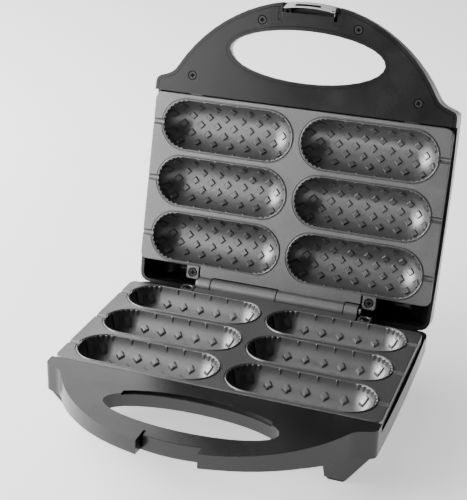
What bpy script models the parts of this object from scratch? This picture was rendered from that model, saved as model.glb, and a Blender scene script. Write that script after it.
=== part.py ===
"""Six-cavity waffle-stick crepe maker: two hinged half-shells that carry cast baking plates.

Every length is in metres. A place on a half-shell is given as (x, f, h): x to the right, f forward
from the hinge axis and h in from the parting plane, where the closed halves meet. The base is built
with h downwards, and the lid with h upwards and then leant back about the hinge.
"""
import math

import bmesh
import bpy
import numpy as np
from mathutils import Matrix, Vector

MM = 0.001

# Shared sizes of the two halves
GAP = 0.3 * MM                    # clearance between neighbouring pieces
OVERRUN = 3.0 * MM                # how far a cutter runs past what it cuts
GRID = 0.0001 * MM                # points are set to this grid, so that flush faces are truly flush
WELD = 0.001 * MM
LID_OPEN_DEG = 104.3              # how far the lid is opened in the stored pose
WALL = 2.5 * MM                   # plastic wall
PARTING = 0.5 * MM                # from the parting plane to each half's face

# Baking plates
PLATE_INNER_MARGIN = 3.6 * MM       # from the middle to the cavities
PLATE_OUTER_MARGIN = 8.4 * MM       # from the cavities to the plate's sides, crossed by the grooves
PLATE_REAR = 12.4 * MM
PLATE_REAR_MARGIN = 2.5 * MM
PLATE_FRONT_MARGIN = 4.46 * MM
PLATE_ROUND = 5.0 * MM
PLATE_THICK = 4.0 * MM
PLATE_SKIRT = 6.2 * MM            # height of the plate's edge
PLATE_SKIRT_WALL = 3.0 * MM
CAVITY_LENGTH = 101.0 * MM
CAVITY_HALF_WIDTH = 18.2 * MM       # at the plate's face
CAVITY_DEPTH = 17.4 * MM
CAVITY_WEB = 6.32 * MM              # from one row of cavities to the next
CAVITY_ROWS = 3
CAVITY_RADIUS = (CAVITY_HALF_WIDTH ** 2 + CAVITY_DEPTH ** 2) / (2 * CAVITY_DEPTH)
CAVITY_RISE = CAVITY_RADIUS - CAVITY_DEPTH      # its axis lies this far outside the plate's face
CAVITY_COLUMN = PLATE_INNER_MARGIN + CAVITY_LENGTH / 2    # cavity centres, left and right
CAVITY_ROW_FIRST = PLATE_REAR + PLATE_REAR_MARGIN + CAVITY_HALF_WIDTH
CAVITY_ROW_PITCH = 2 * CAVITY_HALF_WIDTH + CAVITY_WEB
CAVITY_ROW_LAST = CAVITY_ROW_FIRST + (CAVITY_ROWS - 1) * CAVITY_ROW_PITCH
PLATE_HALF_WIDTH = PLATE_INNER_MARGIN + CAVITY_LENGTH + PLATE_OUTER_MARGIN
PLATE_FRONT = CAVITY_ROW_LAST + CAVITY_HALF_WIDTH + PLATE_FRONT_MARGIN
BOWL_WALL = 2.6 * MM
STUD_PITCH = 13.1 * MM            # diamonds along a cavity
STUD_HALF_LONG = 3.4 * MM         # half a diamond's diagonal along the cavity
STUD_HALF_ROUND = 3.05 * MM       # and round it
STUD_HEIGHT = 1.2 * MM
STUD_ROOT = 0.5 * MM
STUD_TAPER = 0.3                  # how much a diamond narrows for each length it rises
STUD_ROW_DEG = 20.0               # from one row of diamonds to the next, round the cavity
GROOVE_RADIUS = 2.4 * MM
TONGUE_INSET = 31.0 * MM            # from the plate's side
TONGUE_X = PLATE_HALF_WIDTH - TONGUE_INSET
TONGUE_HALF_WIDTH = 5.0 * MM
TONGUE_REACH = 3.5 * MM
TONGUE_THICK = 2.0 * MM
EAR_INSET = 44.0 * MM               # from the plate's side
EAR_X = PLATE_HALF_WIDTH - EAR_INSET
EAR_F = 7.8 * MM
EAR_RADIUS = 4.2 * MM
EAR_THICK = 5.0 * MM
EAR_POST_TOP = 16.0 * MM          # casing posts under the ears end here
BOSS_RADIUS = 4.2 * MM            # bosses under the plates that hold clamp bar and shield

# Outline of both casings
PLATE_SIDE_GAP = 0.8 * MM           # from the plate to the casing's side
HANDLE_STEP = 1.4 * MM              # the handle's arc is this much narrower than the casing, each side
CASING_HALF_WIDTH = PLATE_HALF_WIDTH + PLATE_SIDE_GAP
SIDE_BOW = 1.4 * MM               # the sides swell by this much at their middle
CASING_REAR = -7.0 * MM           # rear wall, behind the hinge axis
SHOULDER_MARGIN = 14.5 * MM         # from the plate to the inner end of the shoulder's front edge
SHOULDER_SLANT = 3.7 * MM           # its outer end lies this much further back
SHOULDER_RISE = 50.1 * MM           # from the centre of the handle's arc to the shoulders
SHOULDER_WIDTH = 10.4 * MM
SHOULDER_ROUND = 4.0 * MM
SHOULDER_HOLLOW = 6.0 * MM        # hollow corner between shoulder and handle arc
REAR_ROUND = 9.0 * MM
SIDE_RIM = 7.0 * MM               # side rims lie this far in from the parting plane
REAR_RIM = 9.35 * MM              # the base's rear rim, on which the open lid leans
REAR_RIM_FRONT = 8.0 * MM         # how far forward the low rear rim runs
SHOULDER_FRONT = PLATE_FRONT + SHOULDER_MARGIN
SHOULDER_CORNER = SHOULDER_FRONT - SHOULDER_SLANT
SHOULDER_INNER_X = CASING_HALF_WIDTH - SHOULDER_WIDTH
HANDLE_RADIUS = CASING_HALF_WIDTH - HANDLE_STEP
HANDLE_CENTRE = SHOULDER_FRONT - SHOULDER_RISE
HANDLE_APEX = HANDLE_CENTRE + HANDLE_RADIUS

# Heights of the casings
HANDLE_DEPTH = 10.5 * MM          # the base's handle, at its front
LID_HANDLE_DEPTH = 12.0 * MM      # the lid's handle, at its front
SIDE_DEPTH = 20.3 * MM            # upright part of the side walls
HULL_ROOM = 17.0 * MM             # between the deepest bowl and the flat wall, for heater and wiring
BOWL_BOTTOM = PARTING + CAVITY_DEPTH + BOWL_WALL
HULL_DEPTH = BOWL_BOTTOM + HULL_ROOM + WALL      # flat outer face of both halves
HULL_SIDE_DRAFT = 15.0 * MM       # how far the slanted sides lean in
HULL_SLANT = 29.2 * MM            # the flat outer face ends this far behind the plate's front
HULL_FRONT = PLATE_FRONT - HULL_SLANT
HULL_LEAD = 15.8 * MM             # from the plate to where the base's slanted front meets the handle
HULL_TO_HANDLE = PLATE_FRONT + HULL_LEAD
LID_SLOPE_LEAD = 13.8 * MM        # from the plate to where the lid's slanted front turns flatter
LID_SLOPE_END = PLATE_FRONT + LID_SLOPE_LEAD
LID_SLOPE_DEPTH = 21.0 * MM
LID_SLOPE_INSET = 13.0 * MM       # this far behind the arc's front the lid's handle gets deeper
LID_SLOPE_FRONT = HANDLE_APEX - LID_SLOPE_INSET
SKIRT_INSET = 4.0 * MM            # this far behind the arc's front the base's skirt gets deeper
SKIRT_FRONT = HANDLE_APEX - SKIRT_INSET
SKIRT_BREAK_INSET = 29.0 * MM
SKIRT_BREAK = HANDLE_APEX - SKIRT_BREAK_INSET
SKIRT_BREAK_DEPTH = 13.9 * MM
SKIRT_REAR = HULL_TO_HANDLE
LID_EDGE_ROUND = 12.0 * MM
BASE_EDGE_ROUND = 4.0 * MM

# Finger gap in both handles
GRIP_INSET = 53.9 * MM            # from the handle's side to the gap's tip
GRIP_HALF_WIDTH = HANDLE_RADIUS - GRIP_INSET
GRIP_BAR = 21.0 * MM              # from the arc's front to the gap
GRIP_FRONT = HANDLE_APEX - GRIP_BAR
GRIP_LEAD = 18.4 * MM             # from the plate to the gap
GRIP_REAR = PLATE_FRONT + GRIP_LEAD
GRIP_FLARE = 4.5 * MM             # the lid's gap widens by this much towards its outer face
GRIP_LEDGE_INSET = 8.0 * MM
GRIP_LEDGE_HALF_WIDTH = GRIP_HALF_WIDTH - GRIP_LEDGE_INSET
GRIP_LEDGE_LEAD = 3.4 * MM        # the stepped ledge in the base's deck reaches this far behind the gap
GRIP_LEDGE_REAR = GRIP_REAR - GRIP_LEDGE_LEAD
GRIP_LEDGE_DEPTH = 1.6 * MM

# Hinge
KNUCKLE_RADIUS = 5.6 * MM
KNUCKLE_SHORT_LENGTH = 10.5 * MM
KNUCKLE_INSET = 6.5 * MM          # from the ears' middles to the short knuckles
KNUCKLE_END = EAR_X - KNUCKLE_INSET             # outer end of the short knuckles
KNUCKLE_LONG = KNUCKLE_END - KNUCKLE_SHORT_LENGTH      # from the middle to the end of the long knuckles
KNUCKLE_GAP = 0.4 * MM
KNUCKLE_WEB = 4.6 * MM
PIN_RADIUS = 2.0 * MM
PIN_HEAD_RADIUS = 3.4 * MM
PIN_HEAD_LENGTH = 1.6 * MM

# Latch
LATCH_HALF_WIDTH = 19.2 * MM
LATCH_THICK = 4.6 * MM
LATCH_DROP = 6.5 * MM             # how far it reaches past the parting plane
LATCH_TOP = 11.6 * MM
LATCH_ARM = 3.0 * MM
LATCH_PIVOT_INSET = 8.5 * MM        # behind the arc's front
LATCH_PIVOT_F = HANDLE_APEX - LATCH_PIVOT_INSET
LATCH_PIVOT_H = 7.5 * MM
LATCH_PIVOT_RADIUS = 3.1 * MM
LATCH_TOE_INSET = 16.8 * MM
LATCH_TOE_F = HANDLE_APEX - LATCH_TOE_INSET
LATCH_TOE_TOP = 4.5 * MM
LATCH_NECK_INSET = 13.6 * MM
LATCH_NECK_F = HANDLE_APEX - LATCH_NECK_INSET         # rear edge of the arms beside the catch bar
LATCH_NECK_TOP = 0.5 * MM
LATCH_EDGE = 0.2 * MM             # its face lies this far behind the handle's arc
LATCH_SLOT_HALF = 11.5 * MM
LATCH_SLOT_WIDTH = 1.8 * MM
LATCH_SLOT_DEPTH = 4.0 * MM
LATCH_PIN_RADIUS = 1.2 * MM
RECESS_GAP = 0.7 * MM               # beside the latch, in the base's front wall
LID_RECESS_GAP = 2.3 * MM
RECESS_HALF_WIDTH = LATCH_HALF_WIDTH + RECESS_GAP
RECESS_INSET = 11.7 * MM
RECESS_FLOOR = HANDLE_APEX - RECESS_INSET
LID_RECESS_HALF_WIDTH = LATCH_HALF_WIDTH + LID_RECESS_GAP
LID_RECESS_INSET = 12.4 * MM
LID_RECESS_FLOOR = HANDLE_APEX - LID_RECESS_INSET
CATCH_INSET = 14.5 * MM             # front face of the bar that the latch's toes hook under
CATCH_THICK = 3.1 * MM
CATCH_FRONT = HANDLE_APEX - CATCH_INSET
CATCH_REAR = CATCH_FRONT - CATCH_THICK
CATCH_DEPTH = 4.1 * MM            # underside of that bar
CATCH_SLOT_WIDTH = 4.2 * MM

# Screws
SCREW_RADIUS = 1.5 * MM
SCREW_HEAD_RADIUS = 3.2 * MM
SCREW_HEAD_HEIGHT = 2.0 * MM
SCREW_SLOT_HALF = 0.4 * MM
SCREW_SLOT_REACH = 1.7 * MM
SCREW_SLOT_DEPTH = 1.2 * MM
SCREW_BOSS_RADIUS = 3.9 * MM
HANDLE_SCREW_LENGTH = 6.6 * MM
REAR_SCREW_LENGTH = 11.0 * MM
PLATE_SCREW_LENGTH = 9.0 * MM
FRONT_SCREW_STEP = 14.5 * MM      # beside the lid's latch recess
FRONT_SCREW_INSET = 16.3 * MM     # behind the arc's front
FRONT_SCREW_X = LID_RECESS_HALF_WIDTH + FRONT_SCREW_STEP
FRONT_SCREW_F = HANDLE_APEX - FRONT_SCREW_INSET
SHOULDER_SCREW_INSET = 28.4 * MM  # from the casing's side
SHOULDER_SCREW_LEAD = 7.3 * MM    # how far the base's shoulder screws lie in front of the lid's
SHOULDER_SCREW_X = CASING_HALF_WIDTH - SHOULDER_SCREW_INSET
SHOULDER_SCREW_F = SHOULDER_FRONT
BASE_SHOULDER_SCREW_F = SHOULDER_SCREW_F + SHOULDER_SCREW_LEAD
REAR_SCREW_X = 40.0 * MM
REAR_SCREW_F = 2.5 * MM

# Lid handle cover
LID_COVER_THICK = 3.6 * MM

# Base deck and bottom cover
DECK_THICK = 2.5 * MM
DECK_MARGIN = 1.0 * MM              # from the plate to the base's deck and to the lid's handle cover
DECK_REAR = PLATE_FRONT + DECK_MARGIN
COVER_RIM = 17.0 * MM             # upper edge of the bottom cover's side walls
COVER_RIM_INSET = 4.2 * MM          # the lowered edge starts this far behind the plate's front
COVER_RIM_FRONT = PLATE_FRONT - COVER_RIM_INSET

# Legs and feet
LEG_HEIGHT = 6.0 * MM             # below the hull
LEG_DEPTH = HULL_DEPTH + LEG_HEIGHT
FOOT_THICK = 2.0 * MM
LEG_INSET = 19.8 * MM             # from the casing's side to the foot
LEG_WIDTH = 14.0 * MM
LEG_TOP_INSET = 3.4 * MM
LEG_TOP_LEAN = 2.0 * MM
LEG_OUTER_X = CASING_HALF_WIDTH - LEG_INSET
LEG_INNER_X = LEG_OUTER_X - LEG_WIDTH
LEG_TOP_INNER_X = LEG_INNER_X - LEG_TOP_LEAN
LEG_TOP_OUTER_X = CASING_HALF_WIDTH - LEG_TOP_INSET
LEG_HALF = 7.0 * MM               # half the foot's length front to back
LEG_TOP_HALF = 14.0 * MM
LEG_FRONT_INSET = 3.2 * MM        # behind the plate's front
LEG_FRONT_F = PLATE_FRONT - LEG_FRONT_INSET
LEG_REAR_F = 14.0 * MM
FOOT_INSET = 1.0 * MM             # the rubber pads are this much smaller than the legs' ends

# Heating and wiring
HEATER_RADIUS = 3.25 * MM
HEATER_BEND_INSET = 53.0 * MM       # from the plate's side
HEATER_END_INSET = 23.0 * MM
HEATER_BEND_X = PLATE_HALF_WIDTH - HEATER_BEND_INSET
HEATER_END_X = HEATER_END_INSET - PLATE_HALF_WIDTH
CLAMP_HALF_WIDTH = 6.0 * MM
CLAMP_THICK = 1.5 * MM
CLAMP_OVERHANG = 5.0 * MM
SHIELD_THICK = 0.8 * MM
SHIELD_SIDE_INSET = 23.0 * MM       # from the plate's side
SHIELD_FRONT_INSET = 24.4 * MM      # and front
SHIELD_REAR = 19.0 * MM
SHIELD_FRONT = PLATE_FRONT - SHIELD_FRONT_INSET
SHIELD_HALF_WIDTH = PLATE_HALF_WIDTH - SHIELD_SIDE_INSET
SHIELD_SCREW_LENGTH = 14.0 * MM
HEATER_LEG_STEP = 10.0 * MM         # the rod runs this far inside the outer rows' middles
HEATER_LEG_INNER = CAVITY_ROW_FIRST + HEATER_LEG_STEP
HEATER_LEG_OUTER = CAVITY_ROW_LAST - HEATER_LEG_STEP
HEATER_PIN_RADIUS = 1.2 * MM
HEATER_PIN_LENGTH = 6.0 * MM
THERMOSTAT_X = 30.0 * MM
THERMOSTAT_F = (CAVITY_ROW_FIRST + CAVITY_ROW_LAST) / 2
THERMOSTAT_RADIUS = 8.0 * MM
THERMOSTAT_HEIGHT = 6.0 * MM
SENSOR_RADIUS = 5.5 * MM
TAB_HALF_WIDTH = 2.0 * MM
TAB_THICK = 0.8 * MM
TAB_LENGTH = 6.0 * MM
BLOCK_INSET = 53.0 * MM             # from the plate's side
BLOCK_X = PLATE_HALF_WIDTH - BLOCK_INSET
BLOCK_F = 12.5 * MM
BLOCK_HALF_WIDTH = 10.0 * MM
BLOCK_HALF_LENGTH = 5.5 * MM
BLOCK_HEIGHT = 8.0 * MM
BLOCK_HOLE_X = 4.5 * MM
BLOCK_HOLE_RADIUS = 1.6 * MM
FUSE_RADIUS = 2.2 * MM
FUSE_LENGTH = 16.0 * MM
FUSE_X = 10.0 * MM
FUSE_F = 12.0 * MM
WIRE_RADIUS = 1.1 * MM
WIRE_ROOM = 6.0 * MM                # from the leads beside the block to the hull's outer face
WIRE_LEVEL = HULL_DEPTH - WIRE_ROOM
WIRE_STEP = 12.1 * MM               # the leads run across this far outside the rod's legs
WIRE_FRONT_STEP = 3.46 * MM
WIRE_REAR = HEATER_LEG_INNER - WIRE_STEP
WIRE_FRONT = HEATER_LEG_OUTER + WIRE_FRONT_STEP
WIRE_LEAD_IN = 12.0 * MM
GLAND_X = BLOCK_X
GLAND_ROOM = 11.0 * MM              # from the cord's axis to the hull's outer face
GLAND_LEVEL = HULL_DEPTH - GLAND_ROOM
GLAND_RADIUS = 5.0 * MM
GLAND_FLANGE_RADIUS = 7.0 * MM
GLAND_FLANGE = 2.5 * MM
GLAND_LENGTH = 9.0 * MM
GLAND_BORE = 3.3 * MM

# Indicator lamps in the lid
LAMP_X = 12.0 * MM
LAMP_INSET = 43.2 * MM            # behind the plate's front
LAMP_F = PLATE_FRONT - LAMP_INSET
LENS_RADIUS = 3.6 * MM
LENS_FLANGE_RADIUS = 4.6 * MM
LENS_PROUD = 1.2 * MM
LENS_STEM = 4.0 * MM
LENS_WALL = 0.9 * MM
LAMP_RADIUS = 2.1 * MM
LAMP_LENGTH = 6.0 * MM

FLAT_ANGLE = math.radians(0.1)    # faces that meet at less are one face
ROUND_STEPS = 20                  # facets of a full turn
BOWL_STEPS = 18                   # so that each row of diamonds stands on one facet
HOLE_STEPS = 12
SCREW_STEPS = 10
WIRE_STEPS = 8

BASE, LID = -1, 1                 # which way h points
BLACK = ((0.012, 0.012, 0.013), 0.32, 0.0)
CAST = ((0.16, 0.16, 0.165), 0.45, 0.6)
STEEL = ((0.55, 0.55, 0.56), 0.3, 1.0)
SILVER = ((0.6, 0.6, 0.61), 0.35, 0.4)
RUBBER = ((0.02, 0.02, 0.02), 0.8, 0.0)
CERAMIC = ((0.8, 0.78, 0.72), 0.5, 0.0)
INSULATION = ((0.75, 0.75, 0.7), 0.6, 0.0)
RED_LENS = ((0.6, 0.02, 0.02), 0.15, 0.0)
GREEN_LENS = ((0.02, 0.45, 0.08), 0.15, 0.0)
GLASS = ((0.85, 0.85, 0.85), 0.05, 0.0)


# Scene helpers

def clear_scene():
    """Remove what the scene holds at the start."""
    for thing in list(bpy.data.objects):
        bpy.data.objects.remove(thing, do_unlink=True)


def new_collection(name):
    group = bpy.data.collections.new(name)
    bpy.context.scene.collection.children.link(group)
    return group


clear_scene()
PARTS = new_collection("crepe_maker")
CUTTERS = new_collection("cutters")
GUIDES = new_collection("guides")


def material(name, finish):
    """One Principled material from a colour, a roughness and a metallic value."""
    made = bpy.data.materials.get(name)
    if made is None:
        made = bpy.data.materials.new(name)
        made.use_nodes = True
        shader = made.node_tree.nodes["Principled BSDF"]
        colour, roughness, metallic = finish
        shader.inputs["Base Color"].default_value = (*colour, 1.0)
        shader.inputs["Roughness"].default_value = roughness
        shader.inputs["Metallic"].default_value = metallic
    return made


def empty(name, location, turn_x=0.0, parent=None):
    """An empty that carries a body, on the body's joint axis."""
    made = bpy.data.objects.new(name, None)
    made.location = location
    made.rotation_euler = (turn_x, 0.0, 0.0)
    made.parent = parent
    GUIDES.objects.link(made)
    return made


def add_object(name, mesh, place=(0.0, 0.0, 0.0)):
    """An object whose mesh is moved to its place, so that its origin stays on its body's."""
    points = np.empty(3 * len(mesh.vertices), dtype=np.float32)
    mesh.vertices.foreach_get("co", points)
    moved = points.reshape(-1, 3).astype(float) + np.array(place)
    mesh.vertices.foreach_set("co", (np.round(moved / GRID) * GRID).ravel())
    mesh.update()
    made = bpy.data.objects.new(name, mesh)
    CUTTERS.objects.link(made)
    made.hide_render = True
    made.display_type = "WIRE"
    return made


def hang(made, parent):
    """Hang a piece and all its cutters on an empty."""
    made.parent = parent
    for modifier in made.modifiers:
        if modifier.type == "BOOLEAN":
            hang(modifier.object, parent)


def finish_part(made, parent, finish, smooth=False):
    """Move a finished piece to the parts, hang it on its body and give it its material."""
    CUTTERS.objects.unlink(made)
    PARTS.objects.link(made)
    made.hide_render = False
    made.display_type = "TEXTURED"
    hang(made, parent)
    made.data.materials.clear()
    made.data.materials.append(material(made.name + "_finish", finish))
    if smooth:
        made.data.shade_smooth()
        made.data.set_sharp_from_angle(angle=math.radians(40.0))
    return made


def boolean(target, tool, operation):
    modifier = target.modifiers.new(operation.lower() + "_" + tool.name, "BOOLEAN")
    modifier.operation = operation
    modifier.solver = "EXACT"
    modifier.object = tool
    return target


def cut(target, *tools):
    for tool in tools:
        boolean(target, tool, "DIFFERENCE")
    return target


def join(target, *tools):
    for tool in tools:
        boolean(target, tool, "UNION")
    return target


def keep(target, *tools):
    for tool in tools:
        boolean(target, tool, "INTERSECT")
    return target


def mesh_from(name, form, merge_flat=True):
    """A mesh from a bmesh, welded, with its faces pointing out and flat neighbours merged."""
    bmesh.ops.remove_doubles(form, verts=form.verts, dist=WELD)
    if merge_flat:
        bmesh.ops.dissolve_limit(form, angle_limit=FLAT_ANGLE, verts=[], edges=form.edges)
    bmesh.ops.recalc_face_normals(form, faces=form.faces)
    mesh = bpy.data.meshes.new(name)
    form.to_mesh(mesh)
    form.free()
    return mesh


# Plain shapes. Those with a side take places as (x, f, h).

def to_local(side, x, f, h):
    return Vector((x, -f, side * h))


def block(name, side, x_range, f_range, h_range):
    """A box between two values of x, f and h."""
    form = bmesh.new()
    bmesh.ops.create_cube(form, size=1.0)
    size = Vector([high - low for low, high in (x_range, f_range, h_range)])
    middle = [(low + high) / 2 for low, high in (x_range, f_range, h_range)]
    bmesh.ops.transform(form, matrix=Matrix.Diagonal(size).to_4x4(), verts=form.verts)
    return add_object(name, mesh_from(name, form), to_local(side, *middle))


def flat_curve_mesh(name, loops, thickness):
    """A flat outline, with holes where loops nest, as a solid of the given thickness."""
    curve = bpy.data.curves.new(name, "CURVE")
    curve.dimensions = "2D"
    curve.fill_mode = "BOTH"
    curve.extrude = thickness / 2
    for loop in loops:
        spline = curve.splines.new("POLY")
        spline.points.add(len(loop) - 1)
        for point, (across, along) in zip(spline.points, loop):
            point.co = (across, along, 0.0, 1.0)
        spline.use_cyclic_u = True
    holder = bpy.data.objects.new(name + "_outline", curve)
    bpy.context.scene.collection.objects.link(holder)
    depsgraph = bpy.context.evaluated_depsgraph_get()
    raw = bpy.data.meshes.new_from_object(holder.evaluated_get(depsgraph))
    bpy.data.objects.remove(holder, do_unlink=True)
    bpy.data.curves.remove(curve)
    form = bmesh.new()
    form.from_mesh(raw)
    bpy.data.meshes.remove(raw)
    return form


def slab(name, side, loops, h_range):
    """An outline in (x, f), made solid between two values of h."""
    low, high = h_range
    flat = [[(x, -f) for x, f in loop] for loop in loops]
    form = flat_curve_mesh(name, flat, high - low)
    return add_object(name, mesh_from(name, form), to_local(side, 0.0, 0.0, (low + high) / 2))


def profile_fh(name, side, outline, half_width, middle=0.0):
    """A side view in (f, h), made solid to both sides of the middle."""
    form = flat_curve_mesh(name, [[(-f, side * h) for f, h in outline]], 2 * half_width)
    turn = Matrix(((0, 0, 1, 0), (1, 0, 0, 0), (0, 1, 0, 0), (0, 0, 0, 1)))
    bmesh.ops.transform(form, matrix=turn, verts=form.verts)
    return add_object(name, mesh_from(name, form), (middle, 0.0, 0.0))


def profile_xh(name, side, outline, f_range):
    """A front view in (x, h), made solid between two values of f."""
    low, high = f_range
    form = flat_curve_mesh(name, [[(x, side * h) for x, h in outline]], high - low)
    turn = Matrix(((1, 0, 0, 0), (0, 0, -1, 0), (0, 1, 0, 0), (0, 0, 0, 1)))
    bmesh.ops.transform(form, matrix=turn, verts=form.verts)
    return add_object(name, mesh_from(name, form), (0.0, -(low + high) / 2, 0.0))


def turned(name, profile, steps=ROUND_STEPS):
    """Spin a profile of (radius, height) about Z. It starts and ends on the axis or closes itself."""
    form = bmesh.new()
    verts = [form.verts.new((radius, 0.0, height)) for radius, height in profile]
    edges = [form.edges.new(pair) for pair in zip(verts, verts[1:])]
    if profile[0][0] > 0.0:
        edges.append(form.edges.new((verts[-1], verts[0])))
    bmesh.ops.spin(form, geom=verts + edges, cent=(0, 0, 0), axis=(0, 0, 1),
                   angle=math.tau, steps=steps, use_merge=True)
    return mesh_from(name, form)


def rod(name, side, place, direction, radius, length, steps=ROUND_STEPS):
    """A cylinder that starts at place and runs along 'x', 'f' or 'h'."""
    form = bmesh.new()
    bmesh.ops.create_cone(form, cap_ends=True, cap_tris=False, segments=steps, radius1=radius,
                          radius2=radius, depth=length)
    bmesh.ops.translate(form, vec=(0.0, 0.0, length / 2), verts=form.verts)
    mesh = mesh_from(name, form)
    if direction == "x":
        mesh.transform(Matrix.Rotation(math.radians(90.0), 4, "Y"))
    elif direction == "f":
        mesh.transform(Matrix.Rotation(math.radians(90.0), 4, "X"))
    elif side == BASE:
        mesh.transform(Matrix.Rotation(math.radians(180.0), 4, "X"))
    return add_object(name, mesh, to_local(side, *place))


def loft(name, side, rings):
    """A closed solid through rings of equal count, each a list of (x, f) and one value of h."""
    form = bmesh.new()
    rows = [[form.verts.new(to_local(side, x, f, h)) for x, f in ring] for ring, h in rings]
    count = len(rows[0])
    for lower, upper in zip(rows, rows[1:]):
        for i in range(count):
            j = (i + 1) % count
            form.faces.new((lower[i], lower[j], upper[j], upper[i]))
    form.faces.new(rows[0])
    form.faces.new(rows[-1])
    return add_object(name, mesh_from(name, form))


# Outlines

def soft_corner(before, corner, after, count=4):
    """A quadratic curve from before to after, drawn towards the corner."""
    points = []
    for i in range(count + 1):
        t = i / count
        points.append(tuple((1 - t) ** 2 * a + 2 * t * (1 - t) * b + t * t * c
                            for a, b, c in zip(before, corner, after)))
    return points


def towards(start, end, distance):
    """The point at a distance from start on the way to end."""
    span = math.dist(start, end)
    return tuple(a + (b - a) * distance / span for a, b in zip(start, end))


def rounded(points, radii, count=4):
    """A closed outline whose corners are rounded by their own radii."""
    outline = []
    total = len(points)
    for i, (corner, radius) in enumerate(zip(points, radii)):
        if radius <= 0.0:
            outline.append(corner)
            continue
        before = towards(corner, points[i - 1], radius)
        after = towards(corner, points[(i + 1) % total], radius)
        outline.extend(soft_corner(before, corner, after, count))
    return outline


def side_x(f, inset):
    """Half the casing's width at f, with its swelling sides."""
    middle = (SHOULDER_CORNER + CASING_REAR) / 2
    share = (f - middle) / (SHOULDER_CORNER - middle)
    return CASING_HALF_WIDTH + SIDE_BOW * max(0.0, 1.0 - share * share) - inset


def casing_outline(inset=0.0, rear=CASING_REAR):
    """The casing seen from above: handle arc, shoulders, swelling sides and rear wall."""
    radius = HANDLE_RADIUS - inset
    slope = math.atan2(SHOULDER_FRONT - SHOULDER_CORNER, CASING_HALF_WIDTH - SHOULDER_INNER_X)
    drop = inset / math.cos(slope)
    edge_x = side_x(SHOULDER_CORNER, inset)
    corner = (edge_x, SHOULDER_FRONT - drop - (edge_x - SHOULDER_INNER_X) * math.tan(slope))
    angle = 0.0
    hollow_f = corner[1]
    for _ in range(20):
        angle = math.acos((hollow_f - HANDLE_CENTRE) / radius)
        hollow_f = SHOULDER_FRONT - drop - (radius * math.sin(angle) - SHOULDER_INNER_X) * math.tan(slope)
    hollow = (radius * math.sin(angle), hollow_f)
    arc_end = angle - SHOULDER_HOLLOW / radius
    steps = 12
    half = [(radius * math.sin(arc_end * i / steps), HANDLE_CENTRE + radius * math.cos(arc_end * i / steps))
            for i in range(steps + 1)]
    shoulder_round = max(SHOULDER_ROUND - inset, GAP)
    rear_round = max(REAR_ROUND - inset, GAP)
    reach = min(SHOULDER_HOLLOW, math.dist(hollow, corner) - shoulder_round) * 0.9
    half += soft_corner(half[-1], hollow, towards(hollow, corner, reach))[1:]
    half += soft_corner(towards(corner, hollow, shoulder_round), corner,
                        (edge_x, corner[1] - shoulder_round))
    low = rear + inset
    side_steps = 6
    top_f, end_f = corner[1] - shoulder_round, low + rear_round
    for i in range(1, side_steps):
        f = top_f + (end_f - top_f) * i / side_steps
        half.append((side_x(f, inset), f))
    end_x = side_x(end_f, inset)
    half += soft_corner((end_x, end_f), (end_x, low), (end_x - rear_round, low))
    return half + [(-x, f) for x, f in reversed(half[1:])]


def ellipse(grow=0.0, steps=32):
    """The finger gap's outline, grown outwards all round."""
    middle = (GRIP_FRONT + GRIP_REAR) / 2
    across = GRIP_HALF_WIDTH + grow
    along = (GRIP_FRONT - GRIP_REAR) / 2 + grow
    return [(across * math.sin(math.tau * i / steps), middle + along * math.cos(math.tau * i / steps))
            for i in range(steps)]


def rectangle(x_range, f_range):
    (x_low, x_high), (f_low, f_high) = x_range, f_range
    return [(x_low, f_low), (x_high, f_low), (x_high, f_high), (x_low, f_high)]


def plate_outline(inset=0.0):
    corners = rectangle((-PLATE_HALF_WIDTH + inset, PLATE_HALF_WIDTH - inset),
                        (PLATE_REAR + inset, PLATE_FRONT - inset))
    return rounded(corners, [max(PLATE_ROUND - inset, GAP)] * 4)


WIDEST = CASING_HALF_WIDTH + SIDE_BOW


def lid_side_view(inset=0.0, end=HANDLE_APEX + OVERRUN):
    """The lid's closed outer face from the side, as (f, h)."""
    rear = CASING_REAR + inset
    top = HULL_DEPTH - inset
    points = [(rear, -OVERRUN), (rear, top), (HULL_FRONT - inset, top),
              (LID_SLOPE_END - inset, LID_SLOPE_DEPTH - inset), (LID_SLOPE_FRONT, LID_HANDLE_DEPTH - inset),
              (end, LID_HANDLE_DEPTH - inset), (end, -OVERRUN)]
    return rounded(points, [0.0, LID_EDGE_ROUND, LID_EDGE_ROUND, LID_EDGE_ROUND, LID_EDGE_ROUND, 0.0, 0.0])


def hull_front_view(inset=0.0, edge=LID_EDGE_ROUND, side_gap=0.0):
    """Upright sides and slanted flanks from the front, as (x, h)."""
    low, high = SIDE_DEPTH - inset, HULL_DEPTH - inset
    wide = WIDEST - side_gap - inset
    narrow = wide - HULL_SIDE_DRAFT
    points = [(-wide, -OVERRUN), (-wide, low), (-narrow, high), (narrow, high), (wide, low), (wide, -OVERRUN)]
    return rounded(points, [0.0, edge / 2, edge, edge, edge / 2, 0.0])


def arc_front(x):
    """How far forward the handle's arc reaches at x."""
    return HANDLE_CENTRE + math.sqrt(HANDLE_RADIUS ** 2 - x * x)


LID_OPEN = math.radians(LID_OPEN_DEG)
REAR_REACH = max(h * math.sin(LID_OPEN) - f * math.cos(LID_OPEN)
                 for f, h in lid_side_view(end=arc_front(LID_RECESS_HALF_WIDTH)))
HINGE_Y = (arc_front(RECESS_HALF_WIDTH) - REAR_REACH) / 2     # centres the stored pose on the origin
HINGE_Z = LEG_DEPTH + FOOT_THICK

BASE_FRAME = empty("base_frame", (0.0, HINGE_Y, HINGE_Z))
LID_FRAME = empty("lid_hinge_axis", (0.0, HINGE_Y, HINGE_Z), turn_x=-LID_OPEN)
LATCH_FRAME = empty("latch_axis", to_local(LID, 0.0, LATCH_PIVOT_F, LATCH_PIVOT_H), parent=LID_FRAME)


# Fasteners

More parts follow.
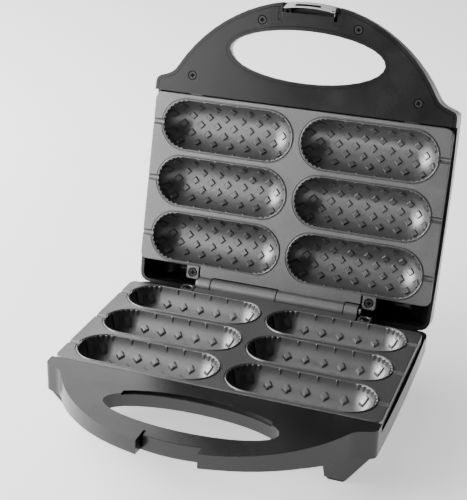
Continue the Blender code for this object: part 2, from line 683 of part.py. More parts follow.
def screw_mesh(name, length, recessed):
    """A pan-head screw along Z, its head's top at zero and its shank downwards."""
    head = SCREW_HEAD_HEIGHT
    profile = [(0.0, 0.0), (SCREW_HEAD_RADIUS - SCREW_SLOT_HALF, 0.0), (SCREW_HEAD_RADIUS, -head / 2),
               (SCREW_HEAD_RADIUS, -head), (SCREW_RADIUS, -head), (SCREW_RADIUS, -length),
               (0.0, -length - SCREW_RADIUS)]
    if not recessed:
        return turned(name, profile, SCREW_STEPS)
    blank = add_object(name + "_blank", turned(name, profile, SCREW_STEPS))
    for across, along in ((SCREW_SLOT_REACH, SCREW_SLOT_HALF), (SCREW_SLOT_HALF, SCREW_SLOT_REACH)):
        cut(blank, block(name + "_slot", LID, (-across, across), (-along, along), (-SCREW_SLOT_DEPTH, OVERRUN)))
    depsgraph = bpy.context.evaluated_depsgraph_get()
    mesh = bpy.data.meshes.new_from_object(blank.evaluated_get(depsgraph))
    for modifier in list(blank.modifiers):
        bpy.data.objects.remove(modifier.object, do_unlink=True)
    bpy.data.objects.remove(blank, do_unlink=True)
    return mesh


def screws(name, side, places, length, head_out, parent, recessed=False):
    """Equal screws at (x, f, h) places. head_out is +1 if their heads face away from h."""
    single = screw_mesh(name, length, recessed)
    if side * head_out > 0:
        single.transform(Matrix.Rotation(math.radians(180.0), 4, "X"))
    for i, place in enumerate(places):
        made = add_object(f"{name}_{i + 1}", single.copy(), to_local(side, *place))
        finish_part(made, parent, STEEL)
    bpy.data.meshes.remove(single)


def boss(name, side, x, f, h_range, radius=SCREW_BOSS_RADIUS):
    low, high = h_range
    return rod(name, side, (x, f, low), "h", radius, high - low, HOLE_STEPS)


def hole(name, side, x, f, h_range, radius=SCREW_RADIUS + GAP):
    low, high = h_range
    return rod(name, side, (x, f, low), "h", radius, high - low, HOLE_STEPS)


# Baking plates

def capsule(name, side, x, f, radius, length, steps, arc_steps):
    """A round-ended bar along x, its axis outside the plate's face."""
    straight = length / 2
    ends = [(radius * math.cos(math.radians(90.0 * i / arc_steps)),
             straight + radius * math.sin(math.radians(90.0 * i / arc_steps))) for i in range(arc_steps + 1)]
    ends[-1] = (0.0, straight + radius)
    profile = [(r, -z) for r, z in reversed(ends)] + ends
    mesh = turned(name, profile, steps)
    mesh.transform(Matrix.Rotation(math.pi / steps, 4, "Z"))
    mesh.transform(Matrix.Rotation(math.radians(90.0), 4, "Y"))
    return add_object(name, mesh, to_local(side, x, f, PARTING - CAVITY_RISE))


def cavity_places():
    return [(column * CAVITY_COLUMN, CAVITY_ROW_FIRST + row * CAVITY_ROW_PITCH)
            for row in range(CAVITY_ROWS) for column in (-1, 1)]


def cavity_straight():
    """Length between the centres of a cavity's round ends."""
    face_half = math.sqrt(CAVITY_RADIUS ** 2 - CAVITY_RISE ** 2)
    return CAVITY_LENGTH - 2 * face_half


def stud_mesh_into(form, side, x, f, angle):
    """One raised diamond on a cavity's wall, at an angle from its deepest line."""
    levels = (STUD_ROOT, -STUD_HEIGHT)
    centre = to_local(side, x, f, PARTING - CAVITY_RISE)
    down = Vector((0.0, -math.sin(angle), side * math.cos(angle)))
    across = Vector((0.0, -math.cos(angle), -side * math.sin(angle)))
    rings = []
    for level in levels:
        middle = centre + down * (CAVITY_RADIUS + level)
        long_half = STUD_HALF_LONG + level * STUD_TAPER
        round_half = STUD_HALF_ROUND + level * STUD_TAPER
        rings.append([form.verts.new(middle + Vector((dx * long_half, 0.0, 0.0)) + across * (df * round_half))
                      for dx, df in ((1, 0), (0, 1), (-1, 0), (0, -1))])
    low, high = rings
    for i in range(4):
        j = (i + 1) % 4
        form.faces.new((low[i], low[j], high[j], high[i]))
    form.faces.new(low)
    form.faces.new(high)


def waffle_studs(name, side):
    """The staggered diamonds of all cavities: five and six to a row, three rows round the wall."""
    form = bmesh.new()
    for x, f in cavity_places():
        for row in (-1, 0, 1):
            count = 5 if row == 0 else 6
            for i in range(count):
                shift = (i - (count - 1) / 2) * STUD_PITCH
                stud_mesh_into(form, side, x + shift, f, math.radians(STUD_ROW_DEG * row))
    return add_object(name, mesh_from(name, form))


def knuckle(name, side, x_range):
    """One hinge barrel with the web that ties it to the plate."""
    low, high = x_range
    web_low, web_high = PARTING + GAP / 2, PARTING + KNUCKLE_WEB
    start, end = math.asin(web_high / KNUCKLE_RADIUS), math.tau + math.asin(web_low / KNUCKLE_RADIUS)
    outline = [(KNUCKLE_RADIUS * math.cos(start + (end - start) * i / ROUND_STEPS),
                KNUCKLE_RADIUS * math.sin(start + (end - start) * i / ROUND_STEPS))
               for i in range(ROUND_STEPS + 1)]
    outline += [(PLATE_REAR + WALL / 2, web_low), (PLATE_REAR + WALL / 2, web_high)]
    return profile_fh(name, side, outline, (high - low) / 2, (low + high) / 2)


def ear_outline(x):
    """A screw ear from above: round at the rear and straight into the plate."""
    steps = HOLE_STEPS // 2
    arc = [(x + EAR_RADIUS * math.cos(math.pi * i / steps), EAR_F - EAR_RADIUS * math.sin(math.pi * i / steps))
           for i in range(steps + 1)]
    return arc + [(x - EAR_RADIUS, PLATE_REAR + WALL / 2), (x + EAR_RADIUS, PLATE_REAR + WALL / 2)]


def heater_level():
    """Depth of the heater's axis, just under the bowls."""
    return BOWL_BOTTOM + GAP + HEATER_RADIUS


def boss_places():
    """Where the plate's two bosses stand, between the ends of four bowls."""
    return [(0.0, CAVITY_ROW_FIRST + CAVITY_ROW_PITCH * share) for share in (0.5, CAVITY_ROWS - 1.5)]


def clamp_range():
    top = heater_level() + HEATER_RADIUS + GAP
    return top, top + CLAMP_THICK


def shield_range():
    top = clamp_range()[1] + GAP
    return top, top + SHIELD_THICK


def baking_plate(name, side, deck_thick, knuckles, parent):
    """A cast plate: face, edge, six bowls, stick grooves, tongues, screw ears and hinge knuckles."""
    plate = slab(name, side, [plate_outline()], (PARTING, PARTING + PLATE_SKIRT))
    hollow = slab(name + "_hollow", side, [plate_outline(PLATE_SKIRT_WALL)],
                  (PARTING + PLATE_THICK, PARTING + PLATE_SKIRT + OVERRUN))
    cut(plate, hollow)
    straight = cavity_straight()
    for i, (x, f) in enumerate(cavity_places()):
        bowl = capsule(f"{name}_bowl_{i}", side, x, f, CAVITY_RADIUS + BOWL_WALL, straight, 16, 2)
        above = block(f"{name}_above_{i}", side, (x - CAVITY_LENGTH, x + CAVITY_LENGTH),
                      (f - CAVITY_ROW_PITCH, f + CAVITY_ROW_PITCH), (-CAVITY_LENGTH, PARTING + PLATE_THICK / 2))
        join(plate, cut(bowl, above))
    for end in (-1, 1):
        x_range = sorted((end * (TONGUE_X - TONGUE_HALF_WIDTH), end * (TONGUE_X + TONGUE_HALF_WIDTH)))
        top = PARTING + deck_thick + GAP
        join(plate, block(f"{name}_tongue_{end}", side, x_range,
                          (PLATE_FRONT - WALL / 2, PLATE_FRONT + TONGUE_REACH), (top, top + TONGUE_THICK)))
        join(plate, slab(f"{name}_ear_{end}", side, [ear_outline(end * EAR_X)],
                         (PARTING + GAP / 2, PARTING + EAR_THICK)))
        cut(plate, hole(f"{name}_ear_hole_{end}", side, end * EAR_X, EAR_F, (-OVERRUN, EAR_THICK + OVERRUN)))
        seat = hole(f"{name}_ear_seat_{end}", side, end * EAR_X, EAR_F,
                    (-OVERRUN, PARTING + SCREW_HEAD_HEIGHT + GAP), SCREW_HEAD_RADIUS + GAP)
        cut(plate, seat)
    for x_range in knuckles:
        join(plate, knuckle(f"{name}_knuckle_{x_range[0]:.3f}", side, x_range))
    for i, (x, f) in enumerate(boss_places()):
        join(plate, boss(f"{name}_boss_{i}", side, x, f, (PARTING + PLATE_THICK / 2, clamp_range()[0] - GAP),
                         BOSS_RADIUS))
    for i, (x, f) in enumerate(cavity_places()):
        cut(plate, capsule(f"{name}_cavity_{i}", side, x, f, CAVITY_RADIUS, straight, BOWL_STEPS, 3))
        outer = math.copysign(PLATE_HALF_WIDTH + OVERRUN, x)
        inner = x + math.copysign(straight / 2, x)
        cut(plate, rod(f"{name}_groove_{i}", side, (min(inner, outer), f, 0.0), "x", GROOVE_RADIUS,
                       abs(outer - inner), 12))
    join(plate, waffle_studs(name + "_studs", side))
    for i, (x, f) in enumerate(boss_places()):
        cut(plate, hole(f"{name}_boss_hole_{i}", side, x, f,
                        (clamp_range()[0] - SHIELD_SCREW_LENGTH, clamp_range()[0] + OVERRUN)))
    cut(plate, rod(name + "_pin_bore", side, (-KNUCKLE_END - OVERRUN, 0.0, 0.0), "x", PIN_RADIUS + GAP,
                   2 * (KNUCKLE_END + OVERRUN), 16))
    return finish_part(plate, parent, CAST)


def hinge_pin(parent):
    reach = KNUCKLE_END + GAP + PIN_HEAD_LENGTH
    end = KNUCKLE_END + GAP
    profile = [(0.0, -reach), (PIN_HEAD_RADIUS, -reach), (PIN_HEAD_RADIUS, -end), (PIN_RADIUS, -end),
               (PIN_RADIUS, end), (PIN_HEAD_RADIUS, end), (PIN_HEAD_RADIUS, reach), (0.0, reach)]
    mesh = turned("hinge_pin", profile, 16)
    mesh.transform(Matrix.Rotation(math.radians(90.0), 4, "Y"))
    return finish_part(add_object("hinge_pin", mesh), parent, STEEL)


def build_plates():
    half = KNUCKLE_GAP / 2
    base_knuckles = [(-KNUCKLE_LONG + half, -half), (KNUCKLE_LONG + half, KNUCKLE_END)]
    lid_knuckles = [(-KNUCKLE_END, -KNUCKLE_LONG - half), (half, KNUCKLE_LONG - half)]
    baking_plate("base_plate", BASE, DECK_THICK, base_knuckles, BASE_FRAME)
    baking_plate("lid_plate", LID, LID_COVER_THICK, lid_knuckles, LID_FRAME)
    hinge_pin(BASE_FRAME)
    places = [(end * EAR_X, EAR_F, PARTING) for end in (-1, 1)]
    screws("base_plate_screw", BASE, places, PLATE_SCREW_LENGTH, 1, BASE_FRAME, recessed=True)
    screws("lid_plate_screw", LID, places, PLATE_SCREW_LENGTH, 1, LID_FRAME, recessed=True)


# Casings

def front_screw_places():
    return [(end * FRONT_SCREW_X, FRONT_SCREW_F) for end in (-1, 1)]


def shoulder_screw_places(f):
    return [(end * SHOULDER_SCREW_X, f) for end in (-1, 1)]


def rear_screw_places():
    return [(end * REAR_SCREW_X, REAR_SCREW_F) for end in (-1, 1)]


def add_ear_posts(casing, name, side):
    """Posts under the plate's two ears, tied to the rear wall."""
    low = REAR_RIM + WALL
    for end in (-1, 1):
        x = end * EAR_X
        join(casing, boss(f"{name}_post_{end}", side, x, EAR_F, (PARTING + EAR_THICK + GAP, EAR_POST_TOP)),
             block(f"{name}_post_rib_{end}", side, (x - WALL / 2, x + WALL / 2),
                   (CASING_REAR + WALL / 2, EAR_F), (low, EAR_POST_TOP - GAP)))
        cut(casing, hole(f"{name}_post_hole_{end}", side, x, EAR_F, (PARTING, EAR_POST_TOP - WALL)))


def skirt_side_view():
    """What lies beyond the base skirt's lower edge, as (f, h): its depth grows towards the shoulders."""
    end = HANDLE_APEX + OVERRUN
    deep = SIDE_DEPTH + OVERRUN
    return [(SKIRT_REAR, SIDE_DEPTH), (SKIRT_REAR, deep), (end, deep), (end, HANDLE_DEPTH),
            (SKIRT_FRONT, HANDLE_DEPTH), (SKIRT_BREAK, SKIRT_BREAK_DEPTH)]


def build_base_casing():
    """Deck, skirt and side walls of the base, open below."""
    casing = slab("base_casing", BASE, [casing_outline()], (PARTING, SIDE_DEPTH))
    inside = slab("base_inside", BASE, [casing_outline(WALL)], (PARTING + DECK_THICK, SIDE_DEPTH + OVERRUN))
    island = rectangle((-RECESS_HALF_WIDTH - WALL, RECESS_HALF_WIDTH + WALL),
                       (CATCH_REAR - WALL, HANDLE_APEX + OVERRUN))
    cut(inside, slab("base_sleeve", BASE, [ellipse(WALL)], (0.0, HANDLE_DEPTH)),
        slab("base_island", BASE, [island], (0.0, SIDE_DEPTH + 2 * OVERRUN)))
    cut(casing, inside)
    cut(casing, block("base_side_rim_cut", BASE, (-WIDEST - OVERRUN, WIDEST + OVERRUN),
                      (CASING_REAR - OVERRUN, DECK_REAR), (-OVERRUN, SIDE_RIM)))
    cut(casing, block("base_rear_rim_cut", BASE, (-WIDEST - OVERRUN, WIDEST + OVERRUN),
                      (CASING_REAR - OVERRUN, REAR_RIM_FRONT), (-OVERRUN, REAR_RIM)))
    cut(casing, profile_fh("base_skirt_cut", BASE, skirt_side_view(), WIDEST + OVERRUN))
    handle_places = front_screw_places() + shoulder_screw_places(BASE_SHOULDER_SCREW_F)
    for i, (x, f) in enumerate(handle_places):
        low = PARTING + DECK_THICK / 2
        join(casing, boss(f"base_boss_{i}", BASE, x, f, (low, HANDLE_DEPTH - WALL - GAP)))
        cut(casing, hole(f"base_boss_hole_{i}", BASE, x, f, (PARTING + DECK_THICK, SIDE_DEPTH)))
    for i, (x, f) in enumerate(rear_screw_places()):
        low = REAR_RIM + WALL
        join(casing, boss(f"base_rear_boss_{i}", BASE, x, f, (low, COVER_RIM)),
             block(f"base_rear_rib_{i}", BASE, (x - WALL / 2, x + WALL / 2),
                   (CASING_REAR + WALL / 2, f), (low + GAP, COVER_RIM - GAP)))
        cut(casing, hole(f"base_rear_hole_{i}", BASE, x, f, (REAR_RIM, SIDE_DEPTH)))
    add_ear_posts(casing, "base", BASE)
    cut(casing, slab("base_grip", BASE, [ellipse()], (-OVERRUN, SIDE_DEPTH + OVERRUN)))
    ledge = slab("base_ledge", BASE, [rectangle((-GRIP_LEDGE_HALF_WIDTH, GRIP_LEDGE_HALF_WIDTH),
                                                (GRIP_LEDGE_REAR - OVERRUN, (GRIP_REAR + GRIP_FRONT) / 2))],
                 (-OVERRUN, PARTING + GRIP_LEDGE_DEPTH))
    cut(casing, keep(ledge, slab("base_ledge_arc", BASE, [ellipse(GRIP_REAR - GRIP_LEDGE_REAR)],
                                 (-2 * OVERRUN, SIDE_DEPTH))))
    cut(casing, block("base_recess", BASE, (-RECESS_HALF_WIDTH, RECESS_HALF_WIDTH),
                      (RECESS_FLOOR, HANDLE_APEX + OVERRUN), (-OVERRUN, SIDE_DEPTH + OVERRUN)))
    for end in (-1, 1):
        x_range = sorted((end * (RECESS_HALF_WIDTH - CATCH_SLOT_WIDTH), end * RECESS_HALF_WIDTH))
        cut(casing, block(f"base_toe_slot_{end}", BASE, x_range, (CATCH_FRONT, RECESS_FLOOR + OVERRUN),
                          (-OVERRUN, SIDE_DEPTH)),
            block(f"base_toe_pocket_{end}", BASE, x_range, (CATCH_REAR, CATCH_FRONT + OVERRUN),
                  (CATCH_DEPTH, SIDE_DEPTH)))
    return finish_part(casing, BASE_FRAME, BLACK)


def cover_side_view(inset=0.0):
    """The bottom cover's outer face from the side, as (f, h), closed along its upper edge."""
    rear = CASING_REAR + WALL + GAP + inset
    upper = HANDLE_DEPTH - WALL
    if inset > 0.0:
        return [(rear, -OVERRUN), (rear, HULL_DEPTH - inset), (HULL_FRONT - 2 * inset, HULL_DEPTH - inset),
                (HULL_TO_HANDLE - 2 * inset, upper), (HULL_TO_HANDLE - 2 * inset, -OVERRUN)]
    end = HANDLE_APEX + OVERRUN
    points = [(rear, upper), (rear, HULL_DEPTH), (HULL_FRONT, HULL_DEPTH), (HULL_TO_HANDLE, HANDLE_DEPTH),
              (end, HANDLE_DEPTH), (end, upper)]
    return rounded(points, [0.0, BASE_EDGE_ROUND, BASE_EDGE_ROUND, 0.0, 0.0, 0.0])


def leg_ring(end, f, inner, outer, half, tail=0.0):
    """A leg's cross-section as (x, f), drawn out to the rear by its tail."""
    rear = f - half - tail
    ring = [(inner, rear), (outer, rear), (outer, f + half), (inner, f + half)]
    return [(end * x, along) for x, along in ring]


def leg_places():
    return [(end, f) for f in (LEG_FRONT_F, LEG_REAR_F) for end in (-1, 1)]


def build_bottom_cover():
    """The pan under the base with its four legs, and the handle's lower face."""
    inset = WALL + GAP
    leg_top = SIDE_DEPTH + GAP
    f_range = (CASING_REAR - OVERRUN, HANDLE_APEX + OVERRUN)
    cover = slab("base_bottom_cover", BASE, [casing_outline(inset)], (HANDLE_DEPTH - 2 * WALL,
                                                                     HULL_DEPTH + OVERRUN))
    keep(cover, profile_fh("cover_side_view", BASE, cover_side_view(), WIDEST + OVERRUN),
         profile_xh("cover_front_view", BASE, hull_front_view(0.0, BASE_EDGE_ROUND, inset), f_range))
    for end, f in leg_places():
        top = leg_ring(end, f, LEG_TOP_INNER_X, LEG_TOP_OUTER_X, LEG_TOP_HALF)
        low = leg_ring(end, f, LEG_INNER_X, LEG_OUTER_X, LEG_HALF)
        join(cover, loft(f"leg_{end}_{f:.3f}", BASE, [(top, leg_top), (low, LEG_DEPTH)]))
    hollow = slab("cover_hollow", BASE, [casing_outline(inset + WALL)], (-OVERRUN, HULL_DEPTH))
    keep(hollow, profile_fh("cover_hollow_side", BASE, cover_side_view(WALL), WIDEST + OVERRUN),
         profile_xh("cover_hollow_front", BASE, hull_front_view(WALL, BASE_EDGE_ROUND, inset), f_range))
    cut(cover, hollow)
    cut(cover, block("cover_rim_cut", BASE, (-WIDEST - OVERRUN, WIDEST + OVERRUN),
                     (CASING_REAR - OVERRUN, COVER_RIM_FRONT), (-OVERRUN, COVER_RIM)))
    for end, f in leg_places():
        tail = LEG_TOP_HALF if f == LEG_FRONT_F else 0.0
        top = leg_ring(end, f, LEG_TOP_INNER_X + 2 * WALL, LEG_TOP_OUTER_X - 2 * WALL,
                       LEG_TOP_HALF - 2 * WALL, tail)
        low = leg_ring(end, f, LEG_INNER_X + WALL, LEG_OUTER_X - WALL, LEG_HALF - WALL)
        cut(cover, loft(f"leg_pocket_{end}_{f:.3f}", BASE, [(top, leg_top + WALL), (low, LEG_DEPTH - WALL)]))
    cut(cover, slab("cover_grip", BASE, [ellipse(WALL + GAP)], (-OVERRUN, HULL_DEPTH)))
    cut(cover, block("cover_recess", BASE, (-RECESS_HALF_WIDTH - WALL - GAP, RECESS_HALF_WIDTH + WALL + GAP),
                     (CATCH_REAR - WALL - GAP, HANDLE_APEX + OVERRUN), (-OVERRUN, SIDE_DEPTH)))
    for i, (x, f) in enumerate(front_screw_places() + shoulder_screw_places(BASE_SHOULDER_SCREW_F)):
        cut(cover, hole(f"cover_hole_{i}", BASE, x, f, (0.0, SIDE_DEPTH)),
            hole(f"cover_seat_{i}", BASE, x, f, (HANDLE_DEPTH - WALL / 2, SIDE_DEPTH),
                 SCREW_HEAD_RADIUS + GAP))
    for i, (x, f) in enumerate(rear_screw_places()):
        join(cover, boss(f"cover_rear_boss_{i}", BASE, x, f, (COVER_RIM + GAP, HULL_DEPTH - WALL / 2),
                         SCREW_HEAD_RADIUS + WALL))
        cut(cover, hole(f"cover_rear_hole_{i}", BASE, x, f, (0.0, HULL_DEPTH + OVERRUN)),
            hole(f"cover_rear_well_{i}", BASE, x, f, (COVER_RIM + 2 * WALL, HULL_DEPTH + OVERRUN),
                 SCREW_HEAD_RADIUS + GAP))
    cut(cover, rod("gland_hole", BASE, (GLAND_X, CASING_REAR - OVERRUN, GLAND_LEVEL), "f",
                   GLAND_RADIUS + GAP, 4 * WALL))
    finish_part(cover, BASE_FRAME, BLACK)
    places = [(x, f, HANDLE_DEPTH - WALL / 2 - GAP / 2 + SCREW_HEAD_HEIGHT + GAP) for x, f in
              front_screw_places() + shoulder_screw_places(BASE_SHOULDER_SCREW_F)]
    screws("base_handle_screw", BASE, places, HANDLE_SCREW_LENGTH, -1, BASE_FRAME)
    places = [(x, f, COVER_RIM + 2 * WALL + SCREW_HEAD_HEIGHT + GAP) for x, f in rear_screw_places()]
    screws("base_rear_screw", BASE, places, REAR_SCREW_LENGTH, -1, BASE_FRAME)


def build_feet():
    """Rubber pads under the legs."""
    names = {(-1, LEG_FRONT_F): "foot_front_left", (1, LEG_FRONT_F): "foot_front_right",
             (-1, LEG_REAR_F): "foot_rear_left", (1, LEG_REAR_F): "foot_rear_right"}
    for (end, f), name in names.items():
        ring = leg_ring(end, f, LEG_INNER_X + FOOT_INSET, LEG_OUTER_X - FOOT_INSET, LEG_HALF - FOOT_INSET)
        outline = rounded(ring, [2 * FOOT_INSET] * 4, 3)
        finish_part(slab(name, BASE, [outline], (LEG_DEPTH + GAP, LEG_DEPTH + FOOT_THICK)), BASE_FRAME, RUBBER)


def grip_loft(name, grow, low, high):
    """The lid's finger gap: upright at its lip, then widening outwards."""
    lip = PARTING + LID_COVER_THICK
    return loft(name, LID, [(ellipse(grow), low), (ellipse(grow), lip), (ellipse(grow + GRIP_FLARE), high)])


def build_lid_casing():
    """The lid's outer shell, open on the plate's side."""
    f_range = (CASING_REAR - OVERRUN, HANDLE_APEX + OVERRUN)
    high = LID_SLOPE_DEPTH + OVERRUN
    casing = slab("lid_casing", LID, [casing_outline()], (PARTING, HULL_DEPTH + OVERRUN))
    keep(casing, profile_fh("lid_side_view", LID, lid_side_view(), WIDEST + OVERRUN),
         profile_xh("lid_front_view", LID, hull_front_view(), f_range))
    inside = slab("lid_inside", LID, [casing_outline(WALL)], (-OVERRUN, HULL_DEPTH))
    island = rectangle((-LID_RECESS_HALF_WIDTH - WALL, LID_RECESS_HALF_WIDTH + WALL),
                       (LID_RECESS_FLOOR - WALL, HANDLE_APEX + 2 * OVERRUN))
    keep(inside, profile_fh("lid_inside_side", LID, lid_side_view(WALL), WIDEST + OVERRUN),
         profile_xh("lid_inside_front", LID, hull_front_view(WALL), f_range))
    cut(inside, grip_loft("lid_sleeve", WALL, -2 * OVERRUN, high),
        slab("lid_island", LID, [island], (-2 * OVERRUN, HULL_DEPTH + OVERRUN)))
    cut(casing, inside)
    cut(casing, block("lid_rim_cut", LID, (-WIDEST - OVERRUN, WIDEST + OVERRUN),
                      (CASING_REAR - OVERRUN, DECK_REAR), (-OVERRUN, SIDE_RIM)))
    low = PARTING + LID_COVER_THICK + GAP
    places = [(place, LID_HANDLE_DEPTH) for place in front_screw_places()]
    places += [(place, LID_SLOPE_DEPTH) for place in shoulder_screw_places(SHOULDER_SCREW_F)]
    for i, ((x, f), depth) in enumerate(places):
        join(casing, boss(f"lid_boss_{i}", LID, x, f, (low, depth - WALL / 2)))
        cut(casing, hole(f"lid_boss_hole_{i}", LID, x, f, (PARTING, LID_HANDLE_DEPTH - WALL)))
    add_ear_posts(casing, "lid", LID)
    cut(casing, grip_loft("lid_grip", 0.0, -OVERRUN, high))
    cut(casing, block("lid_recess", LID, (-LID_RECESS_HALF_WIDTH, LID_RECESS_HALF_WIDTH),
                      (LID_RECESS_FLOOR, HANDLE_APEX + OVERRUN), (-OVERRUN, HULL_DEPTH)))
    reach = LID_RECESS_HALF_WIDTH + WALL - GAP
    cut(casing, rod("latch_bore", LID, (-reach, LATCH_PIVOT_F, LATCH_PIVOT_H), "x",
                    LATCH_PIN_RADIUS + GAP, 2 * reach, 12))
    for end in (-1, 1):
        cut(casing, hole(f"lens_hole_{end}", LID, end * LAMP_X, LAMP_F, (SIDE_DEPTH, HULL_DEPTH + OVERRUN),
                         LENS_RADIUS + GAP))
    return finish_part(casing, LID_FRAME, BLACK)


def build_lid_cover():
    """The flat cover over the lid's hollow handle, and its screws."""
    cover = slab("lid_handle_cover", LID, [casing_outline(WALL + GAP)], (PARTING, PARTING + LID_COVER_THICK))
    cut(cover, block("lid_cover_rear_cut", LID, (-WIDEST - OVERRUN, WIDEST + OVERRUN),
                     (CASING_REAR - OVERRUN, DECK_REAR), (-OVERRUN, SIDE_DEPTH)))
    cut(cover, slab("lid_cover_grip", LID, [ellipse(WALL + GAP)], (-OVERRUN, SIDE_DEPTH)))
    half = LID_RECESS_HALF_WIDTH + WALL + GAP
    cut(cover, block("lid_cover_recess", LID, (-half, half),
                     (LID_RECESS_FLOOR - WALL - GAP, HANDLE_APEX + OVERRUN), (-OVERRUN, SIDE_DEPTH)))
    places = front_screw_places() + shoulder_screw_places(SHOULDER_SCREW_F)
    seat = PARTING + SCREW_HEAD_HEIGHT
    for i, (x, f) in enumerate(places):
        cut(cover, hole(f"lid_cover_hole_{i}", LID, x, f, (-OVERRUN, SIDE_DEPTH)),
            hole(f"lid_cover_seat_{i}", LID, x, f, (-OVERRUN, seat + GAP), SCREW_HEAD_RADIUS + GAP))
    finish_part(cover, LID_FRAME, BLACK)
    screws("lid_cover_screw", LID, [(x, f, PARTING) for x, f in places],
           HANDLE_SCREW_LENGTH, 1, LID_FRAME, recessed=True)


# Latch

def latch_outline():
    """The latch's curved front plate from above, as (x, f)."""
    outer = HANDLE_RADIUS - LATCH_EDGE
    inner = outer - LATCH_THICK
    steps = 8
    front = []
    back = []
    for i in range(steps + 1):
        x = LATCH_HALF_WIDTH * (2 * i / steps - 1)
        front.append((x, HANDLE_CENTRE + math.sqrt(outer * outer - x * x)))
        back.append((x, HANDLE_CENTRE + math.sqrt(inner * inner - x * x)))
    return front + back[::-1]


def arm_outline():
    """The latch's side arm from the side, as (f, h): round at the pivot, with a toe at its lower end."""
    f, h, r = LATCH_PIVOT_F, LATCH_PIVOT_H, LATCH_PIVOT_RADIUS
    round_top = [(f + r * math.cos(math.pi * i / 8), h + r * math.sin(math.pi * i / 8)) for i in range(9)]
    front = HANDLE_APEX - LATCH_EDGE - LATCH_THICK + LATCH_PIN_RADIUS
    return round_top + [(f - r, LATCH_NECK_TOP), (LATCH_NECK_F, -LATCH_NECK_TOP),
                        (LATCH_NECK_F, -LATCH_TOE_TOP), (LATCH_TOE_F, -LATCH_TOE_TOP),
                        (LATCH_TOE_F, -LATCH_DROP), (front, -LATCH_DROP), (front, h)]


def build_latch():
    """The curved latch with two hooked arms, and the pin it turns on."""
    latch = slab("latch", LID, [latch_outline()], (-LATCH_DROP, LATCH_TOP))
    for end in (-1, 1):
        join(latch, profile_fh(f"latch_arm_{end}", LID, arm_outline(), LATCH_ARM / 2,
                               end * (LATCH_HALF_WIDTH - LATCH_ARM / 2)))
    slot_f = HANDLE_APEX - LATCH_EDGE - LATCH_THICK / 2
    cut(latch, block("latch_slot", LID, (-LATCH_SLOT_HALF, LATCH_SLOT_HALF),
                     (slot_f - LATCH_SLOT_WIDTH / 2, slot_f + LATCH_SLOT_WIDTH / 2),
                     (-LATCH_DROP - OVERRUN, LATCH_SLOT_DEPTH - LATCH_DROP)))
    bore = rod("latch_pin_bore", LID, (-LATCH_HALF_WIDTH - OVERRUN, LATCH_PIVOT_F, LATCH_PIVOT_H), "x",
               LATCH_PIN_RADIUS + GAP, 2 * (LATCH_HALF_WIDTH + OVERRUN), 12)
    cut(latch, bore)
    finish_part(latch, LATCH_FRAME, SILVER)
    for piece in [latch] + [modifier.object for modifier in latch.modifiers]:
        piece.location = -to_local(LID, 0.0, LATCH_PIVOT_F, LATCH_PIVOT_H)
    reach = LID_RECESS_HALF_WIDTH + WALL - 2 * GAP
    pin = rod("latch_pin", LID, (-reach, LATCH_PIVOT_F, LATCH_PIVOT_H), "x", LATCH_PIN_RADIUS, 2 * reach, 12)
    finish_part(pin, LID_FRAME, STEEL, smooth=True)


# Heating and wiring

def soft_path(points, bend):
    """A path through (x, f, h) points with its corners rounded."""
    path = [points[0]]
    for before, corner, after in zip(points, points[1:], points[2:]):
        path += soft_corner(towards(corner, before, bend), corner, towards(corner, after, bend), 3)
    return path + [points[-1]]


def tube(name, side, paths, radius, steps):
    """Capped round tubes along paths of (x, f, h) points, as one mesh."""
    curve = bpy.data.curves.new(name, "CURVE")
    curve.dimensions = "3D"
    curve.bevel_depth = radius
    curve.bevel_resolution = (steps - 4) // 2
    curve.use_fill_caps = True
    for path in paths:
        spline = curve.splines.new("POLY")
        spline.points.add(len(path) - 1)
        for point, place in zip(spline.points, path):
            point.co = (*to_local(side, *place), 1.0)
    holder = bpy.data.objects.new(name + "_path", curve)
    bpy.context.scene.collection.objects.link(holder)
    depsgraph = bpy.context.evaluated_depsgraph_get()
    raw = bpy.data.meshes.new_from_object(holder.evaluated_get(depsgraph))
    form = bmesh.new()
    form.from_mesh(raw)
    made = add_object(name, mesh_from(name, form))
    made.matrix_world = holder.matrix_world.copy()
    bpy.data.objects.remove(holder, do_unlink=True)
    bpy.data.curves.remove(curve)
    bpy.data.meshes.remove(raw)
    return made


def build_heater(name, side, parent):
    """A hairpin heating rod under the bowls, with a thin pin at each end."""
    level = heater_level()
    middle = (HEATER_LEG_INNER + HEATER_LEG_OUTER) / 2
    bend = (HEATER_LEG_OUTER - HEATER_LEG_INNER) / 2
    steps = 12
    path = [(HEATER_END_X, HEATER_LEG_INNER, level)]
    path += [(HEATER_BEND_X + bend * math.sin(math.pi * i / steps),
              middle - bend * math.cos(math.pi * i / steps), level) for i in range(steps + 1)]
    path += [(HEATER_END_X, HEATER_LEG_OUTER, level)]
    heater = tube(name, side, [path], HEATER_RADIUS, WIRE_STEPS + 2)
    for i, f in enumerate((HEATER_LEG_INNER, HEATER_LEG_OUTER)):
        join(heater, rod(f"{name}_pin_{i}", side, (HEATER_END_X - HEATER_PIN_LENGTH, f, level), "x",
                         HEATER_PIN_RADIUS, 2 * HEATER_PIN_LENGTH, 8))
    finish_part(heater, parent, STEEL)


